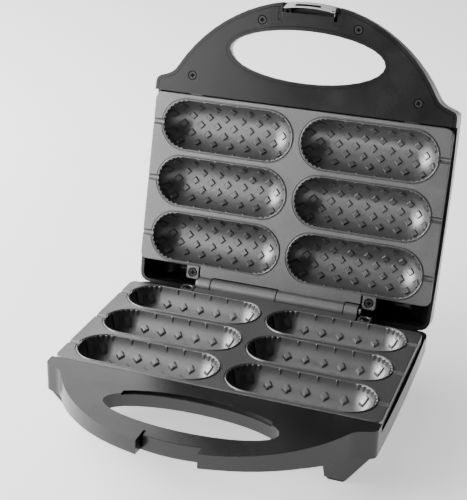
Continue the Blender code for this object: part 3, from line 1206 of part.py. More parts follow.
def build_clamp_and_shield(prefix, side, parent):
    """The bar that presses the heating rod to the plate, the shield over it and their screws."""
    places = boss_places()
    reach = HEATER_LEG_OUTER + CLAMP_OVERHANG
    clamp = block(prefix + "_heater_clamp", side, (-CLAMP_HALF_WIDTH, CLAMP_HALF_WIDTH),
                  (HEATER_LEG_INNER - CLAMP_OVERHANG, reach), clamp_range())
    shield = block(prefix + "_heat_shield", side, (-SHIELD_HALF_WIDTH, SHIELD_HALF_WIDTH),
                   (SHIELD_REAR, SHIELD_FRONT), shield_range())
    for i, (x, f) in enumerate(places):
        for made in (clamp, shield):
            cut(made, hole(f"{made.name}_hole_{i}", side, x, f, (SIDE_DEPTH, HULL_DEPTH)))
    if side == BASE:
        cut(shield, hole("shield_sensor_hole", side, THERMOSTAT_X, THERMOSTAT_F, (SIDE_DEPTH, HULL_DEPTH),
                         SENSOR_RADIUS + GAP))
    finish_part(clamp, parent, STEEL)
    finish_part(shield, parent, STEEL)
    top = shield_range()[1] + SCREW_HEAD_HEIGHT + GAP
    screws(prefix + "_shield_screw", side, [(x, f, top) for x, f in places], SHIELD_SCREW_LENGTH, -1, parent)


def build_thermostat():
    """A snap-disc thermostat outside the shield, whose sensor reaches down to a bowl."""
    low = BOWL_BOTTOM + GAP
    seat = shield_range()[1] + GAP
    body = turned("thermostat", [(0.0, low), (SENSOR_RADIUS, low), (SENSOR_RADIUS, seat),
                                 (THERMOSTAT_RADIUS, seat), (THERMOSTAT_RADIUS, seat + THERMOSTAT_HEIGHT),
                                 (0.0, seat + THERMOSTAT_HEIGHT)])
    body.transform(Matrix.Rotation(math.radians(180.0), 4, "X"))
    made = add_object("thermostat", body, to_local(BASE, THERMOSTAT_X, THERMOSTAT_F, 0.0))
    for end in (-1, 1):
        inner = THERMOSTAT_X + end * THERMOSTAT_RADIUS / 2
        outer = THERMOSTAT_X + end * (THERMOSTAT_RADIUS + TAB_LENGTH)
        middle = seat + THERMOSTAT_HEIGHT / 2
        join(made, block(f"thermostat_tab_{end}", BASE, sorted((inner, outer)),
                         (THERMOSTAT_F - TAB_HALF_WIDTH, THERMOSTAT_F + TAB_HALF_WIDTH),
                         (middle - TAB_THICK / 2, middle + TAB_THICK / 2)))
    finish_part(made, BASE_FRAME, CERAMIC)


def build_terminal_block():
    """A two-way terminal block on the floor of the base."""
    high = HULL_DEPTH - WALL - GAP
    low = high - BLOCK_HEIGHT
    made = block("terminal_block", BASE, (BLOCK_X - BLOCK_HALF_WIDTH, BLOCK_X + BLOCK_HALF_WIDTH),
                 (BLOCK_F - BLOCK_HALF_LENGTH, BLOCK_F + BLOCK_HALF_LENGTH), (low, high))
    for end in (-1, 1):
        x = BLOCK_X + end * BLOCK_HOLE_X
        cut(made, rod(f"block_bore_{end}", BASE, (x, BLOCK_F - 2 * BLOCK_HALF_LENGTH, (low + high) / 2), "f",
                      BLOCK_HOLE_RADIUS, 4 * BLOCK_HALF_LENGTH, 12))
    finish_part(made, BASE_FRAME, CERAMIC)
    return (low + high) / 2


def build_gland():
    """The cord's bush in the rear wall: a tube with a flange outside."""
    wall_rear = CASING_REAR + WALL + GAP
    profile = [(GLAND_BORE, -GLAND_FLANGE), (GLAND_FLANGE_RADIUS, -GLAND_FLANGE), (GLAND_FLANGE_RADIUS, -GAP),
               (GLAND_RADIUS, -GAP), (GLAND_RADIUS, GLAND_LENGTH), (GLAND_BORE, GLAND_LENGTH)]
    mesh = turned("cord_gland", profile)
    mesh.transform(Matrix.Rotation(math.radians(90.0), 4, "X"))
    made = add_object("cord_gland", mesh, to_local(BASE, GLAND_X, wall_rear, GLAND_LEVEL))
    finish_part(made, BASE_FRAME, RUBBER, smooth=True)


def build_base_wiring():
    """Fuse and leads between the terminal block, the thermostat and the heating rod."""
    block_level = build_terminal_block()
    rod_x = HEATER_END_X - HEATER_PIN_LENGTH - GAP
    level = heater_level()
    front = BLOCK_F + BLOCK_HALF_LENGTH + GAP
    left, right = BLOCK_X - BLOCK_HOLE_X, BLOCK_X + BLOCK_HOLE_X
    fuse_end = FUSE_X + FUSE_LENGTH / 2 + GAP
    tab = THERMOSTAT_RADIUS + TAB_LENGTH + GAP
    tab_level = shield_range()[1] + GAP + THERMOSTAT_HEIGHT / 2
    fuse = rod("thermal_fuse", BASE, (FUSE_X - FUSE_LENGTH / 2, FUSE_F, WIRE_LEVEL), "x", FUSE_RADIUS,
               FUSE_LENGTH, 16)
    finish_part(fuse, BASE_FRAME, CERAMIC, smooth=True)
    corner = rod_x - 2 * WIRE_RADIUS
    near = shield_range()[1] + GAP + WIRE_RADIUS
    neutral = [(right, front, block_level), (right, front + WIRE_LEAD_IN, block_level),
               (right, WIRE_FRONT, near), (corner, WIRE_FRONT, near),
               (corner, HEATER_LEG_OUTER, level), (rod_x, HEATER_LEG_OUTER, level)]
    supply = [(left, front, block_level), (left, front + WIRE_LEAD_IN / 2, WIRE_LEVEL),
              (fuse_end + WIRE_LEAD_IN / 2, FUSE_F, WIRE_LEVEL), (fuse_end, FUSE_F, WIRE_LEVEL)]
    sensed = [(FUSE_X - FUSE_LENGTH / 2 - GAP, FUSE_F, WIRE_LEVEL), (-FUSE_X, FUSE_F, WIRE_LEVEL),
              (-FUSE_X, THERMOSTAT_F, tab_level), (THERMOSTAT_X - tab, THERMOSTAT_F, tab_level)]
    turn = THERMOSTAT_X + tab + WIRE_LEAD_IN / 2
    switched = [(THERMOSTAT_X + tab, THERMOSTAT_F, tab_level), (turn, THERMOSTAT_F, tab_level),
                (turn, WIRE_REAR, near), (corner, WIRE_REAR, near),
                (corner, HEATER_LEG_INNER, level), (rod_x, HEATER_LEG_INNER, level)]
    for name, points in (("lead_neutral", neutral), ("lead_supply", supply),
                         ("lead_fuse_to_thermostat", sensed), ("lead_thermostat_to_heater", switched)):
        made = tube(name, BASE, [soft_path(points, 2 * WIRE_RADIUS)], WIRE_RADIUS, WIRE_STEPS)
        finish_part(made, BASE_FRAME, INSULATION, smooth=True)


def build_lamps():
    """Two indicator lamps with their lenses in the lid's outer face, and the lid's leads."""
    for end, word, colour in ((-1, "power", RED_LENS), (1, "ready", GREEN_LENS)):
        x = end * LAMP_X
        outer = HULL_DEPTH + GAP + LENS_PROUD
        low = HULL_DEPTH - LENS_STEM
        inner = LENS_RADIUS - LENS_WALL
        profile = [(0.0, outer), (LENS_RADIUS, outer), (LENS_FLANGE_RADIUS, HULL_DEPTH + GAP + LENS_PROUD / 2),
                   (LENS_FLANGE_RADIUS, HULL_DEPTH + GAP), (LENS_RADIUS, HULL_DEPTH + GAP), (LENS_RADIUS, low),
                   (inner, low), (inner, outer - LENS_WALL), (0.0, outer - LENS_WALL)]
        lens = add_object(word + "_lens", turned(word + "_lens", profile), to_local(LID, x, LAMP_F, 0.0))
        finish_part(lens, LID_FRAME, colour, smooth=True)
        top = outer - LENS_WALL - GAP
        lamp = rod(word + "_lamp", LID, (x, LAMP_F, top - LAMP_LENGTH), "h", LAMP_RADIUS, LAMP_LENGTH, 16)
        finish_part(lamp, LID_FRAME, GLASS, smooth=True)
    level = heater_level()
    rod_x = HEATER_END_X - HEATER_PIN_LENGTH - GAP
    corner = rod_x - 2 * WIRE_RADIUS
    near = shield_range()[1] + GAP + WIRE_RADIUS
    lamp_level = HULL_DEPTH + LENS_PROUD - LENS_WALL - LAMP_LENGTH - GAP
    for name, f, run, x in (("lid_lead_power", HEATER_LEG_INNER, WIRE_REAR, -LAMP_X),
                            ("lid_lead_ready", HEATER_LEG_OUTER, WIRE_FRONT, LAMP_X)):
        path = soft_path([(rod_x, f, level), (corner, f, level), (corner, run, near), (x, run, near),
                          (x, LAMP_F, near), (x, LAMP_F, lamp_level)], WIRE_RADIUS)
        made = tube(name, LID, [path], WIRE_RADIUS, WIRE_STEPS)
        finish_part(made, LID_FRAME, INSULATION, smooth=True)


build_plates()
build_base_casing()
build_bottom_cover()
build_feet()
build_lid_casing()
build_lid_cover()
build_latch()
build_heater("base_heater", BASE, BASE_FRAME)
build_heater("lid_heater", LID, LID_FRAME)
build_clamp_and_shield("base", BASE, BASE_FRAME)
build_clamp_and_shield("lid", LID, LID_FRAME)
build_thermostat()
build_gland()
build_base_wiring()
build_lamps()
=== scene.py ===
"""Looks of an open waffle-stick crepe maker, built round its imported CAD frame.

Every length is in metres. A place on one half is (x, f, h): x to the right, f forward from the hinge
axis, h in from the parting plane where the closed halves meet. The base has h downwards, the lid has
h upwards and is then leant back about the hinge.
"""
from __future__ import annotations

import logging
import math
from dataclasses import dataclass, field
from enum import Enum

import bmesh
import bpy
import numpy as np
from mathutils import Matrix

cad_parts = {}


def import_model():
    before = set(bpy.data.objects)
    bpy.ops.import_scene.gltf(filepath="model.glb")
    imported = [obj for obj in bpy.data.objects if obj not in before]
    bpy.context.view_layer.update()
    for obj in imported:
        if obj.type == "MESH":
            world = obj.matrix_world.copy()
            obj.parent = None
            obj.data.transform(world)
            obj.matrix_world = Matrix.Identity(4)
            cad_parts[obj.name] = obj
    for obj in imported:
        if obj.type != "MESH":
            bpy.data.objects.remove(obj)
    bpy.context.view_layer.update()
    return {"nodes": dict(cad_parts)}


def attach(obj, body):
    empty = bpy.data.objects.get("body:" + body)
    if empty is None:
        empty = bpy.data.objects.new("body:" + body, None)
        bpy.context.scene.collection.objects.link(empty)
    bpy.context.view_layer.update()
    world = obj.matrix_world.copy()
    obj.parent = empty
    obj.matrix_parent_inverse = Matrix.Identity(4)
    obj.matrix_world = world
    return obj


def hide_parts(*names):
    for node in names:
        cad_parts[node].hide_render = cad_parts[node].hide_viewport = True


LOG = logging.getLogger("crepe_maker")

MM = 0.001
HINGE_Y = 75.4987 * MM
HINGE_Z = 48.0 * MM
LID_OPEN = math.radians(104.3)
LEAN_COS, LEAN_SIN = math.cos(LID_OPEN), math.sin(LID_OPEN)
PARTING = 0.5 * MM
HANDLE_CENTRE = 105.6 * MM
TINY = 1e-9
NEAR = 1e-7


class Side(Enum):
    """Which half of the appliance a place belongs to."""

    BASE = "base"
    LID = "lid"

    def place(self, x: np.ndarray, f: np.ndarray, h: np.ndarray) -> np.ndarray:
        """Turn (x, f, h) arrays into world points.

        The base is (x, HY - f, HZ - h). The lid is the same place turned by the opening angle about
        the hinge: forward becomes f cos - h sin, and up becomes f sin + h cos.

        Args:
            x: distance to the right of the middle.
            f: distance forward from the hinge axis.
            h: distance in from the parting plane.

        Returns:
            Points with a last axis of three.
        """
        x, f, h = np.broadcast_arrays(x, f, h)
        if self is Side.BASE:
            return np.stack([x, HINGE_Y - f, HINGE_Z - h], axis=-1)
        forward = f * LEAN_COS - h * LEAN_SIN
        return np.stack([x, HINGE_Y - forward, HINGE_Z + f * LEAN_SIN + h * LEAN_COS], axis=-1)

    def read(self, points: np.ndarray) -> np.ndarray:
        """Turn world points back into (x, f, h), the inverse of place.

        Args:
            points: world points with a last axis of three.

        Returns:
            The same places on this half.
        """
        ahead, above = HINGE_Y - points[..., 1], points[..., 2] - HINGE_Z
        if self is Side.BASE:
            return np.stack([points[..., 0], ahead, -above], axis=-1)
        return np.stack([points[..., 0], ahead * LEAN_COS + above * LEAN_SIN,
                         above * LEAN_COS - ahead * LEAN_SIN], axis=-1)


class Body(Enum):
    """The moving bodies of the CAD frame."""

    BASE = "base"
    LID = "lid"
    LATCH = "latch"


def arc_front(radius: float | np.ndarray, x: np.ndarray) -> np.ndarray:
    """How far forward a circle about the handles' centre lies at x: centre + sqrt(r^2 - x^2)."""
    return HANDLE_CENTRE + np.sqrt(radius ** 2 - x ** 2)


def placed(right: np.ndarray, up: np.ndarray, back: np.ndarray, place: np.ndarray) -> Matrix:
    """The matrix of a camera or light whose axes are right, up and back, at a place."""
    axes = np.stack([right, up, back], -1)
    return Matrix([[*row, p] for row, p in zip(axes, place)] + [[0.0, 0.0, 0.0, 1.0]])


def around(count: int) -> np.ndarray:
    """Equal angles once round a circle, the last one short of the first."""
    return np.linspace(0.0, math.tau, count + 1)[:-1]


def quarter_turn(count: int) -> np.ndarray:
    """Equal angles from nought to a right angle."""
    return np.linspace(0.0, math.pi / 2, count)


def mirrored(end: int, low: float, high: float) -> tuple[float, float]:
    """A span of x on the right, or its mirror image on the left where end is negative."""
    return (low, high) if end > 0 else (-high, -low)


def linked(name: str, data: bpy.types.ID) -> bpy.types.Object:
    """A new object of the scene that shows this data.

    Args:
        name: name of the object.
        data: its mesh, light or camera.

    Returns:
        The object, at the origin.
    """
    made = bpy.data.objects.new(name, data)
    bpy.context.scene.collection.objects.link(made)
    return made


# Mesh making


@dataclass
class Shape:
    """Vertices and faces gathered from several closed surfaces."""

    points: list[np.ndarray] = field(default_factory=list)
    faces: list[list[int]] = field(default_factory=list)
    count: int = 0

    def add(self, points: np.ndarray, faces: np.ndarray) -> None:
        """Append points and the faces that join them.

        Args:
            points: any array whose last axis is three.
            faces: rows of indices into those points.
        """
        flat = points.reshape(-1, 3)
        self.points.append(flat)
        self.faces.extend((faces + self.count).tolist())
        self.count += len(flat)

    def add_grid(self, grid: np.ndarray, wrap_rows: bool = False, wrap_columns: bool = False) -> None:
        """Append a grid of points as quads between neighbouring rows and columns.

        Args:
            grid: (rows, columns, 3) points, or with one more leading axis for several equal grids.
            wrap_rows: join the last row to the first.
            wrap_columns: join the last column to the first.
        """
        stack = grid if grid.ndim == 4 else grid[None]
        many, rows, columns, _ = stack.shape
        index = np.arange(rows * columns).reshape(rows, columns)
        index = np.concatenate([index, index[:1]], axis=0) if wrap_rows else index
        index = np.concatenate([index, index[:, :1]], axis=1) if wrap_columns else index
        quads = np.stack([index[:-1, :-1], index[:-1, 1:], index[1:, 1:], index[1:, :-1]], axis=-1)
        quads = quads.reshape(-1, 4)[None] + (np.arange(many) * rows * columns)[:, None, None]
        self.add(stack, quads.reshape(-1, 4))

    def add_loft(self, rows: np.ndarray) -> None:
        """Append a closed solid through outline rows, with its first and last row capped.

        Args:
            rows: (rows, columns, 3) points, or with one more leading axis for several equal solids.
        """
        stack = rows if rows.ndim == 4 else rows[None]
        many, levels, columns, _ = stack.shape
        start = self.count
        self.add_grid(stack, wrap_columns=True)
        ends = np.stack([np.arange(columns), np.arange(columns) + (levels - 1) * columns])
        caps = ends[None] + (np.arange(many) * levels * columns)[:, None, None] + start
        self.faces.extend(caps.reshape(-1, columns).tolist())

    def build(self, name: str, weld: float = 0.002 * MM, smooth_angle: float = 35.0,
              even: bool = False) -> bpy.types.Object:
        """Make the gathered surfaces one object, welded and with its faces pointing out.

        Args:
            name: name of the piece.
            weld: points closer than this become one.
            smooth_angle: edges flatter than this are shaded smooth.
            even: weight the shading by face area, so that flat faces look flat.

        Returns:
            The new object, at the origin.
        """
        mesh = bpy.data.meshes.new(name)
        mesh.from_pydata(np.concatenate(self.points).tolist(), [], self.faces)
        form = bmesh.new()
        form.from_mesh(mesh)
        bmesh.ops.remove_doubles(form, verts=form.verts, dist=weld)
        bmesh.ops.dissolve_degenerate(form, edges=form.edges, dist=weld / 4)
        bmesh.ops.recalc_face_normals(form, faces=form.faces)
        form.to_mesh(mesh)
        form.free()
        mesh.shade_smooth()
        mesh.set_sharp_from_angle(angle=math.radians(smooth_angle))
        made = linked(name, mesh)
        return evened(made, name) if even else made


def evened(work: bpy.types.Object, name: str) -> bpy.types.Object:
    """Finish a working object: its modifiers applied, and shading weighted by face area.

    Args:
        work: the working object, which is removed.
        name: name of the finished piece.

    Returns:
        The finished piece, at the origin.
    """
    even = work.modifiers.new("even", "WEIGHTED_NORMAL")
    even.weight = 100
    even.keep_sharp = True
    depsgraph = bpy.context.evaluated_depsgraph_get()
    mesh = bpy.data.meshes.new_from_object(work.evaluated_get(depsgraph))
    bpy.data.objects.remove(work, do_unlink=True)
    mesh.name = name
    mesh.materials.clear()
    return linked(name, mesh)


def rounded_outline(half_x: float, half_y: float, radius: float, steps: int = 5) -> np.ndarray:
    """A rectangle with round corners, from quarter circles (cos, sin) at its four corners.

    Args:
        half_x: half its width.
        half_y: half its height.
        radius: of its corners.
        steps: points on each corner.

    Returns:
        The outline, as (points, 2).
    """
    angle = quarter_turn(steps)
    quarter = np.stack([np.cos(angle), np.sin(angle)], axis=-1) * radius
    corners = []
    for turn, (sx, sy) in enumerate(((1, 1), (-1, 1), (-1, -1), (1, -1))):
        c, s = round(math.cos(turn * math.pi / 2)), round(math.sin(turn * math.pi / 2))
        turned = quarter @ np.array([[c, s], [-s, c]])
        corners.append(turned + np.array([sx * (half_x - radius), sy * (half_y - radius)]))
    return np.concatenate(corners)


def soft_block(shape: Shape, side: Side, x: tuple[float, float], f: tuple[float, float],
               h: tuple[float, float], edge: float) -> None:
    """Append a block with rounded upright corners and softened ends to a shape.

    The outline is a rounded rectangle in (x, f); it is drawn in by the edge radius at both ends of h,
    along a quarter circle.

    Args:
        shape: gathers the block.
        side: half that the block stands on.
        x: lowest and highest x.
        f: lowest and highest f.
        h: lowest and highest h.
        edge: radius of its edges.
    """
    middle = np.array([sum(x) / 2, sum(f) / 2])
    half = np.array([(x[1] - x[0]) / 2, (f[1] - f[0]) / 2])
    outline = rounded_outline(half[0], half[1], edge)
    bend = quarter_turn(4)
    inset = edge * np.concatenate([1 - np.sin(bend), (1 - np.sin(bend))[::-1]])
    level = np.concatenate([h[0] + edge * (1 - np.cos(bend)), (h[1] - edge * (1 - np.cos(bend)))[::-1]])
    scale = (half[None] - inset[:, None]) / half[None]
    plan = outline[None] * scale[:, None] + middle
    shape.add_loft(side.place(plan[..., 0], plan[..., 1], level[:, None]))


def arc_block(shape: Shape, side: Side, x: np.ndarray, rear: float, radius: float,
              h: tuple[float, float]) -> None:
    """Append a block with a straight rear and a front that follows the handle's arc.

    At each x its section is the rectangle from the rear to centre + sqrt(r^2 - x^2), between both h.

    Args:
        shape: gathers the block.
        side: half that the block stands on.
        x: places across, from one end to the other.
        rear: f of its rear.
        radius: of the front's arc.
        h: lowest and highest h.
    """
    x = x[:, None]
    front, back = arc_front(radius, x), np.full_like(x, rear)
    f = np.concatenate([back, front, front, back], -1)
    shape.add_loft(side.place(x, f, np.array([[h[0], h[0], h[1], h[1]]])))


def softened_copy(node: bpy.types.Object, name: str, width: float, segments: int = 2,
                  limit: float = 32.0) -> bpy.types.Object:
    """A copy of a CAD node with its loose triangles merged and its edges rounded.

    Args:
        node: the CAD node, which is left as it is.
        name: name of the new piece.
        width: how far the rounding reaches from each edge.
        segments: facets of the rounding.
        limit: edges sharper than this many degrees are rounded.

    Returns:
        The new object, at the origin.
    """
    made = linked(name + "_work", node.data.copy())
    made.data.shade_smooth()
    weld = made.modifiers.new("weld", "WELD")
    weld.merge_threshold = 0.004 * MM
    flat = made.modifiers.new("flat", "DECIMATE")
    flat.decimate_type = "DISSOLVE"
    flat.angle_limit = math.radians(0.4)
    bevel = made.modifiers.new("bevel", "BEVEL")
    bevel.limit_method = "ANGLE"
    bevel.angle_limit = math.radians(limit)
    bevel.width = width
    bevel.segments = segments
    bevel.use_clamp_overlap = True
    bevel.miter_outer = "MITER_ARC"
    return evened(made, name)


# Finishes


class Tree:
    """A small helper that adds nodes to a material and links them."""

    def __init__(self, name: str) -> None:
        """Start a material that has only its Principled shader.

        Args:
            name: name of the material.
        """
        self.material = bpy.data.materials.new(name)
        self.material.use_nodes = True
        self.nodes = self.material.node_tree.nodes
        self.links = self.material.node_tree.links
        self.shader = self.nodes["Principled BSDF"]
        self.place = self.nodes.new("ShaderNodeTexCoord").outputs["Object"]

    def set(self, **values: float | tuple[float, ...]) -> None:
        """Set the shader's own sockets, named with underscores for spaces."""
        for key, value in values.items():
            self.shader.inputs[key.replace("_", " ")].default_value = value

    def noise(self, scale: float, detail: float = 3.0, roughness: float = 0.55,
              stretch: tuple[float, float, float] | None = None) -> bpy.types.NodeSocket:
        """Noise on Object coordinates.

        Args:
            scale: cells in a metre.
            detail: octaves.
            roughness: how strong the finer octaves are.
            stretch: scale along each axis, where the grain has a direction.

        Returns:
            The factor socket.
        """
        node = self.nodes.new("ShaderNodeTexNoise")
        node.inputs["Scale"].default_value = scale
        node.inputs["Detail"].default_value = detail
        node.inputs["Roughness"].default_value = roughness
        source = self.place
        if stretch is not None:
            mapping = self.nodes.new("ShaderNodeMapping")
            mapping.inputs["Scale"].default_value = stretch
            self.links.new(self.place, mapping.inputs["Vector"])
            source = mapping.outputs["Vector"]
        self.links.new(source, node.inputs["Vector"])
        return node.outputs["Fac"]

    def ramp(self, source: bpy.types.NodeSocket, low: float = 0.0, high: float = 1.0,
             start: float = 0.3, end: float = 0.7) -> bpy.types.NodeSocket:
        """Map a factor from start..end to low..high, held at both ends.

        Args:
            source: the factor.
            low: what start becomes.
            high: what end becomes.
            start: lower end of the factor's span.
            end: upper end of it.

        Returns:
            The mapped factor's socket.
        """
        node = self.nodes.new("ShaderNodeMapRange")
        for key, value in (("From Min", start), ("From Max", end), ("To Min", low), ("To Max", high)):
            node.inputs[key].default_value = value
        self.links.new(source, node.inputs["Value"])
        return node.outputs["Result"]

    def blend(self, source: bpy.types.NodeSocket, first: tuple[float, ...],
              second: tuple[float, ...]) -> bpy.types.NodeSocket:
        """Two colours mixed by a factor.

        Args:
            source: the factor.
            first: the colour at none of it.
            second: the colour at all of it.

        Returns:
            The colour socket.
        """
        node = self.nodes.new("ShaderNodeMix")
        node.data_type = "RGBA"
        node.inputs["A"].default_value = (*first, 1.0)
        node.inputs["B"].default_value = (*second, 1.0)
        self.links.new(source, node.inputs["Factor"])
        return node.outputs["Result"]

    def bump(self, source: bpy.types.NodeSocket, depth: float, strength: float = 1.0,
             under: bpy.types.NodeSocket | None = None) -> bpy.types.NodeSocket:
        """A bump of the given depth, over another bump if one is given.

        Args:
            source: the height, as a factor.
            depth: how far a full factor stands out, in metres.
            strength: share of the bump that shows.
            under: normal of the bump below this one.

        Returns:
            The normal socket.
        """
        node = self.nodes.new("ShaderNodeBump")
        node.inputs["Distance"].default_value = depth
        node.inputs["Strength"].default_value = strength
        self.links.new(source, node.inputs["Height"])
        if under is not None:
            self.links.new(under, node.inputs["Normal"])
        return node.outputs["Normal"]

    def drive(self, **sources: bpy.types.NodeSocket) -> None:
        """Link sockets to the shader's inputs, named with underscores for spaces."""
        for key, source in sources.items():
            self.links.new(source, self.shader.inputs[key.replace("_", " ")])


@dataclass(frozen=True)
class MouldedPlastic:
    """Smooth moulded plastic with a faint grain and slight unevenness of gloss."""

    name: str
    colour: tuple[float, float, float]
    worn: tuple[float, float, float]
    gloss: tuple[float, float] = (0.22, 0.3)
    grain: float = 0.012 * MM
    sink: float = 0.25 * MM
    scales: tuple[float, float, float] = (38.0, 2600.0, 14.0)

    def material(self) -> bpy.types.Material:
        """Make the plastic's material: clouds of gloss, a fine grain and wide shallow sink marks.

        Returns:
            The new material.
        """
        tree = Tree(self.name)
        tree.set(Specular_IOR_Level=0.5, Metallic=0.0)
        cloud = tree.noise(self.scales[0], 3.0)
        fine = tree.noise(self.scales[1], 2.0)
        wave = tree.noise(self.scales[2], 1.0)
        tree.drive(Base_Color=tree.blend(tree.ramp(cloud), self.colour, self.worn),
                   Roughness=tree.ramp(cloud, self.gloss[0], self.gloss[1]),
                   Normal=tree.bump(fine, self.grain, 1.0, tree.bump(wave, self.sink, 0.35)))
        return tree.material


@dataclass(frozen=True)
class CoatedCasting:
    """Cast aluminium under a satin non-stick coat with fine flecks."""

    name: str
    colour: tuple[float, float, float]
    fleck: tuple[float, float, float]
    gloss: tuple[float, float] = (0.34, 0.43)
    metallic: float = 0.8
    skin: float = 0.02 * MM
    scales: tuple[float, float, float] = (3400.0, 55.0, 900.0)

    def material(self) -> bpy.types.Material:
        """Make the coated casting's material: flecks, clouds of gloss and the coat's skin.

        Returns:
            The new material.
        """
        tree = Tree(self.name)
        tree.set(Metallic=self.metallic, Specular_IOR_Level=0.5)
        fleck = tree.noise(self.scales[0], 2.0, 0.6)
        cloud = tree.noise(self.scales[1], 3.0)
        skin = tree.noise(self.scales[2], 3.0, 0.6)
        tree.drive(Base_Color=tree.blend(tree.ramp(fleck, 0.0, 1.0, 0.45, 0.7), self.colour, self.fleck),
                   Roughness=tree.ramp(cloud, self.gloss[0], self.gloss[1]),
                   Normal=tree.bump(skin, self.skin, 1.0))
        return tree.material


@dataclass(frozen=True)
class PlainMetal:
    """Plated or bare steel with fine drawn lines."""

    name: str
    colour: tuple[float, float, float]
    gloss: tuple[float, float]
    stretch: tuple[float, float, float] = (1.0, 12.0, 12.0)
    scale: float = 420.0
    drawn: float = 0.01 * MM
    darker: float = 0.72

    def material(self) -> bpy.types.Material:
        """Make the metal's material, its noise stretched into drawn lines.

        Returns:
            The new material.
        """
        tree = Tree(self.name)
        tree.set(Metallic=1.0)
        line = tree.noise(self.scale, 3.0, 0.6, self.stretch)
        shade = tuple(self.darker * c for c in self.colour)
        tree.drive(Base_Color=tree.blend(tree.ramp(line), self.colour, shade),
                   Roughness=tree.ramp(line, self.gloss[0], self.gloss[1]),
                   Normal=tree.bump(line, self.drawn, 0.6))
        return tree.material


@dataclass(frozen=True)
class MattSolid:
    """Rubber, ceramic, card or woven insulation: matt, grainy and slightly mottled."""

    name: str
    colour: tuple[float, float, float]
    mottle: tuple[float, float, float]
    roughness: tuple[float, float]
    grain: float
    scale: float = 1600.0
    cloud_scale: float = 90.0
    specular: float = 0.4

    def material(self) -> bpy.types.Material:
        """Make the matt material: grain, and mottling in wide clouds.

        Returns:
            The new material.
        """
        tree = Tree(self.name)
        tree.set(Specular_IOR_Level=self.specular)
        grain = tree.noise(self.scale, 4.0, 0.65)
        cloud = tree.noise(self.cloud_scale, 2.0)
        tree.drive(Base_Color=tree.blend(tree.ramp(cloud), self.colour, self.mottle),
                   Roughness=tree.ramp(grain, self.roughness[0], self.roughness[1]),
                   Normal=tree.bump(grain, self.grain, 1.0))
        return tree.material


@dataclass(frozen=True)
class ClearPlastic:
    """Tinted or clear lamp plastic."""

    name: str
    colour: tuple[float, float, float]
    transmission: float = 0.7
    ior: float = 1.49
    scale: float = 700.0
    darker: float = 0.7

    def material(self) -> bpy.types.Material:
        """Make the lamp plastic's material: clear, with faint clouds of tint.

        Returns:
            The new material.
        """
        tree = Tree(self.name)
        tree.set(Transmission_Weight=self.transmission, IOR=self.ior)
        cloud = tree.noise(self.scale, 2.0)
        deep = tuple(self.darker * c for c in self.colour)
        tree.drive(Base_Color=tree.blend(tree.ramp(cloud), self.colour, deep),
                   Roughness=tree.ramp(cloud, 0.06, 0.12))
        return tree.material


CASE_BLACK = MouldedPlastic("case_black", (0.006, 0.006, 0.0063), (0.009, 0.009, 0.0094), (0.22, 0.29))
PLATE_GREY = CoatedCasting("plate_grey", (0.132, 0.132, 0.135), (0.235, 0.235, 0.237))
LATCH_SILVER = MouldedPlastic("latch_silver", (0.42, 0.42, 0.425), (0.5, 0.5, 0.505), (0.3, 0.38))
SCREW_DARK = PlainMetal("screw_dark", (0.062, 0.062, 0.064), (0.38, 0.52))
STEEL_BRIGHT = PlainMetal("steel_bright", (0.5, 0.5, 0.51), (0.22, 0.4))
STEEL_DULL = PlainMetal("steel_dull", (0.36, 0.36, 0.37), (0.35, 0.55))
ROD_SHEATH = PlainMetal("rod_sheath", (0.2, 0.19, 0.17), (0.4, 0.6))
FOOT_RUBBER = MattSolid("foot_rubber", (0.02, 0.02, 0.02), (0.03, 0.03, 0.03), (0.7, 0.9), 0.03 * MM)
# Painted shade: near-black and almost without specular, for the latch slot's bar and the screws' crosses,
# standing in for the shade in those hollows.
PAINTED_RECESS_SHADE = MattSolid("painted_recess_shade", (0.003, 0.003, 0.003), (0.004, 0.004, 0.004), (0.8, 0.95), 0.01 * MM,
                        specular=0.03)
CERAMIC = MattSolid("ceramic", (0.72, 0.7, 0.64), (0.62, 0.6, 0.55), (0.45, 0.6), 0.01 * MM)
SLEEVE = MattSolid("glass_sleeve", (0.7, 0.69, 0.64), (0.58, 0.57, 0.52), (0.7, 0.9), 0.05 * MM, 2200.0)
LENS_RED = ClearPlastic("lens_red", (0.75, 0.03, 0.02))
LENS_GREEN = ClearPlastic("lens_green", (0.04, 0.5, 0.12))
LAMP_GLASS = ClearPlastic("lamp_glass", (0.9, 0.88, 0.84), 0.9)

Finish = MouldedPlastic | CoatedCasting | PlainMetal | MattSolid | ClearPlastic


class Paint:
    """Hands out each finish's material, made once."""

    made: dict[str, bpy.types.Material] = {}

    @classmethod
    def on(cls, piece: bpy.types.Object, finish: Finish) -> bpy.types.Object:
        """Give a piece its finish.

        Args:
            piece: object whose material slots are all filled.
            finish: what it is made of.

        Returns:
            The piece.
        """
        if finish.name not in cls.made:
            cls.made[finish.name] = finish.material()
        material = cls.made[finish.name]
        if not piece.material_slots:
            piece.data.materials.append(material)
        for slot in piece.material_slots:
            slot.material = material
        return piece


# Baking plates


